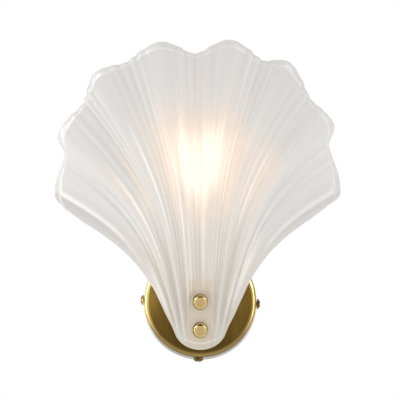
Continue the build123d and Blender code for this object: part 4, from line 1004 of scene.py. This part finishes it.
solder = new_finish("solder", (0.42, 0.42, 0.43), 0.45, Metallic=1.0)
cooled = grain(solder, 0.0007)
shade(solder, cooled, (0.34, 0.34, 0.35), (0.50, 0.50, 0.50))
emboss(solder, cooled, 0.00005)
dress(solder, "bulb_tip")


# ---- studio ----
# A pale floor well below the sconce, an even white room with a dark patch high in front for the brass to
# mirror, four soft lamps and the camera, which looks slightly up from 3 m away.
FLOOR_Z = -0.32
FLOOR_HALF = 6.0
MIRROR_PATCH, PATCH_WIDE, PATCH_NARROW, PATCH_LIGHT = (0, -0.56, 0.83), 33, 23, 0.02
LAMP_AIM = (0, 0, 0.08)
CAMERA_PLACE = Vector((0, -3.000, -0.172))
CAMERA_AIM = Vector((-0.00027, -0.023, 0.0908))
CAMERA_LENS, CAMERA_SENSOR = 300.4, 36

floor_mesh = bpy.data.meshes.new("floor")
corners = [(x * FLOOR_HALF, y * FLOOR_HALF, FLOOR_Z) for x, y in ((-1, -1), (1, -1), (1, 1), (-1, 1))]
floor_mesh.from_pydata(corners, [], [(0, 1, 2, 3)])
floor = bpy.data.objects.new("floor", floor_mesh)
bpy.context.scene.collection.objects.link(floor)
floor_mesh.materials.append(new_finish("pale_floor", (0.86, 0.86, 0.86), 0.9))

world = bpy.data.worlds.new("studio")
bpy.context.scene.world = world
world.use_nodes = True
sky = world.node_tree
background = sky.nodes["Background"]
background.inputs["Color"].default_value = (1, 1, 1, 1)
heading = wired(sky, "ShaderNodeTexCoord", "Generated")
_, heading_y, heading_z = axes(heading)


def ray_is(kind):
    """1 on rays of one kind."""
    return wired(sky, "ShaderNodeLightPath", f"Is {kind} Ray")


def nearness(direction, wide, narrow):
    """1 in the middle of a round patch of the studio, 0 beyond its edge; angles in degrees."""
    towards = Vector(direction).normalized()
    facing = compute(sky, "DOT_PRODUCT", heading, towards, kind="ShaderNodeVectorMath")
    return smooth_step(facing, cos(radians(wide)), cos(radians(narrow)))


room = between(smooth_step(heading_z, -0.35, 0.6), 0.55, 0.80)         # from the walls to the ceiling
room = between(smooth_step(heading_z, -0.90, -0.55), 0.18, room)       # the floor
room = between(nearness(MIRROR_PATCH, PATCH_WIDE, PATCH_NARROW), room, PATCH_LIGHT)
room = between(smooth_step(heading_y, -0.30, 0.05), room, 0.35)        # the sides
room = between(smooth_step(heading_y, 0.45, 0.80), room, 1.0)          # behind the sconce
mirrored = between(ray_is("Glossy"), 0.80, room)
plain_white = greater(ray_is("Camera"), ray_is("Transmission"))
plug(between(plain_white, mirrored, 1.0), background.inputs["Strength"])


def aimed(thing, place, aim):
    """Puts a lamp or camera in the scene, turned to a point."""
    carrier = bpy.data.objects.new(thing.name, thing)
    carrier.location = place
    carrier.rotation_euler = (Vector(aim) - Vector(place)).to_track_quat("-Z", "Y").to_euler()
    bpy.context.scene.collection.objects.link(carrier)
    return carrier


for name, place, size, power in (
    ("left_softbox", (-1.28, -0.61, 0.83), (0.6, 0.6), 6.5),
    ("right_softbox", (1.28, -0.61, 0.83), (0.8, 0.8), 3.3),
    ("left_strip", (-1.5, -0.02, 0.10), (0.25, 1.4), 6.0),
    ("right_strip", (1.41, -0.75, 0.05), (0.20, 1.2), 2.4),
):
    lamp = bpy.data.lights.new(name, "AREA")
    lamp.shape = "RECTANGLE"
    lamp.size, lamp.size_y = size
    lamp.energy = power
    aimed(lamp, place, LAMP_AIM)

camera_data = bpy.data.cameras.new("camera")
camera_data.sensor_width = CAMERA_SENSOR
camera_data.lens = CAMERA_LENS
bpy.context.scene.camera = aimed(camera_data, CAMERA_PLACE, CAMERA_AIM)
bpy.context.scene.view_settings.view_transform = "Standard"
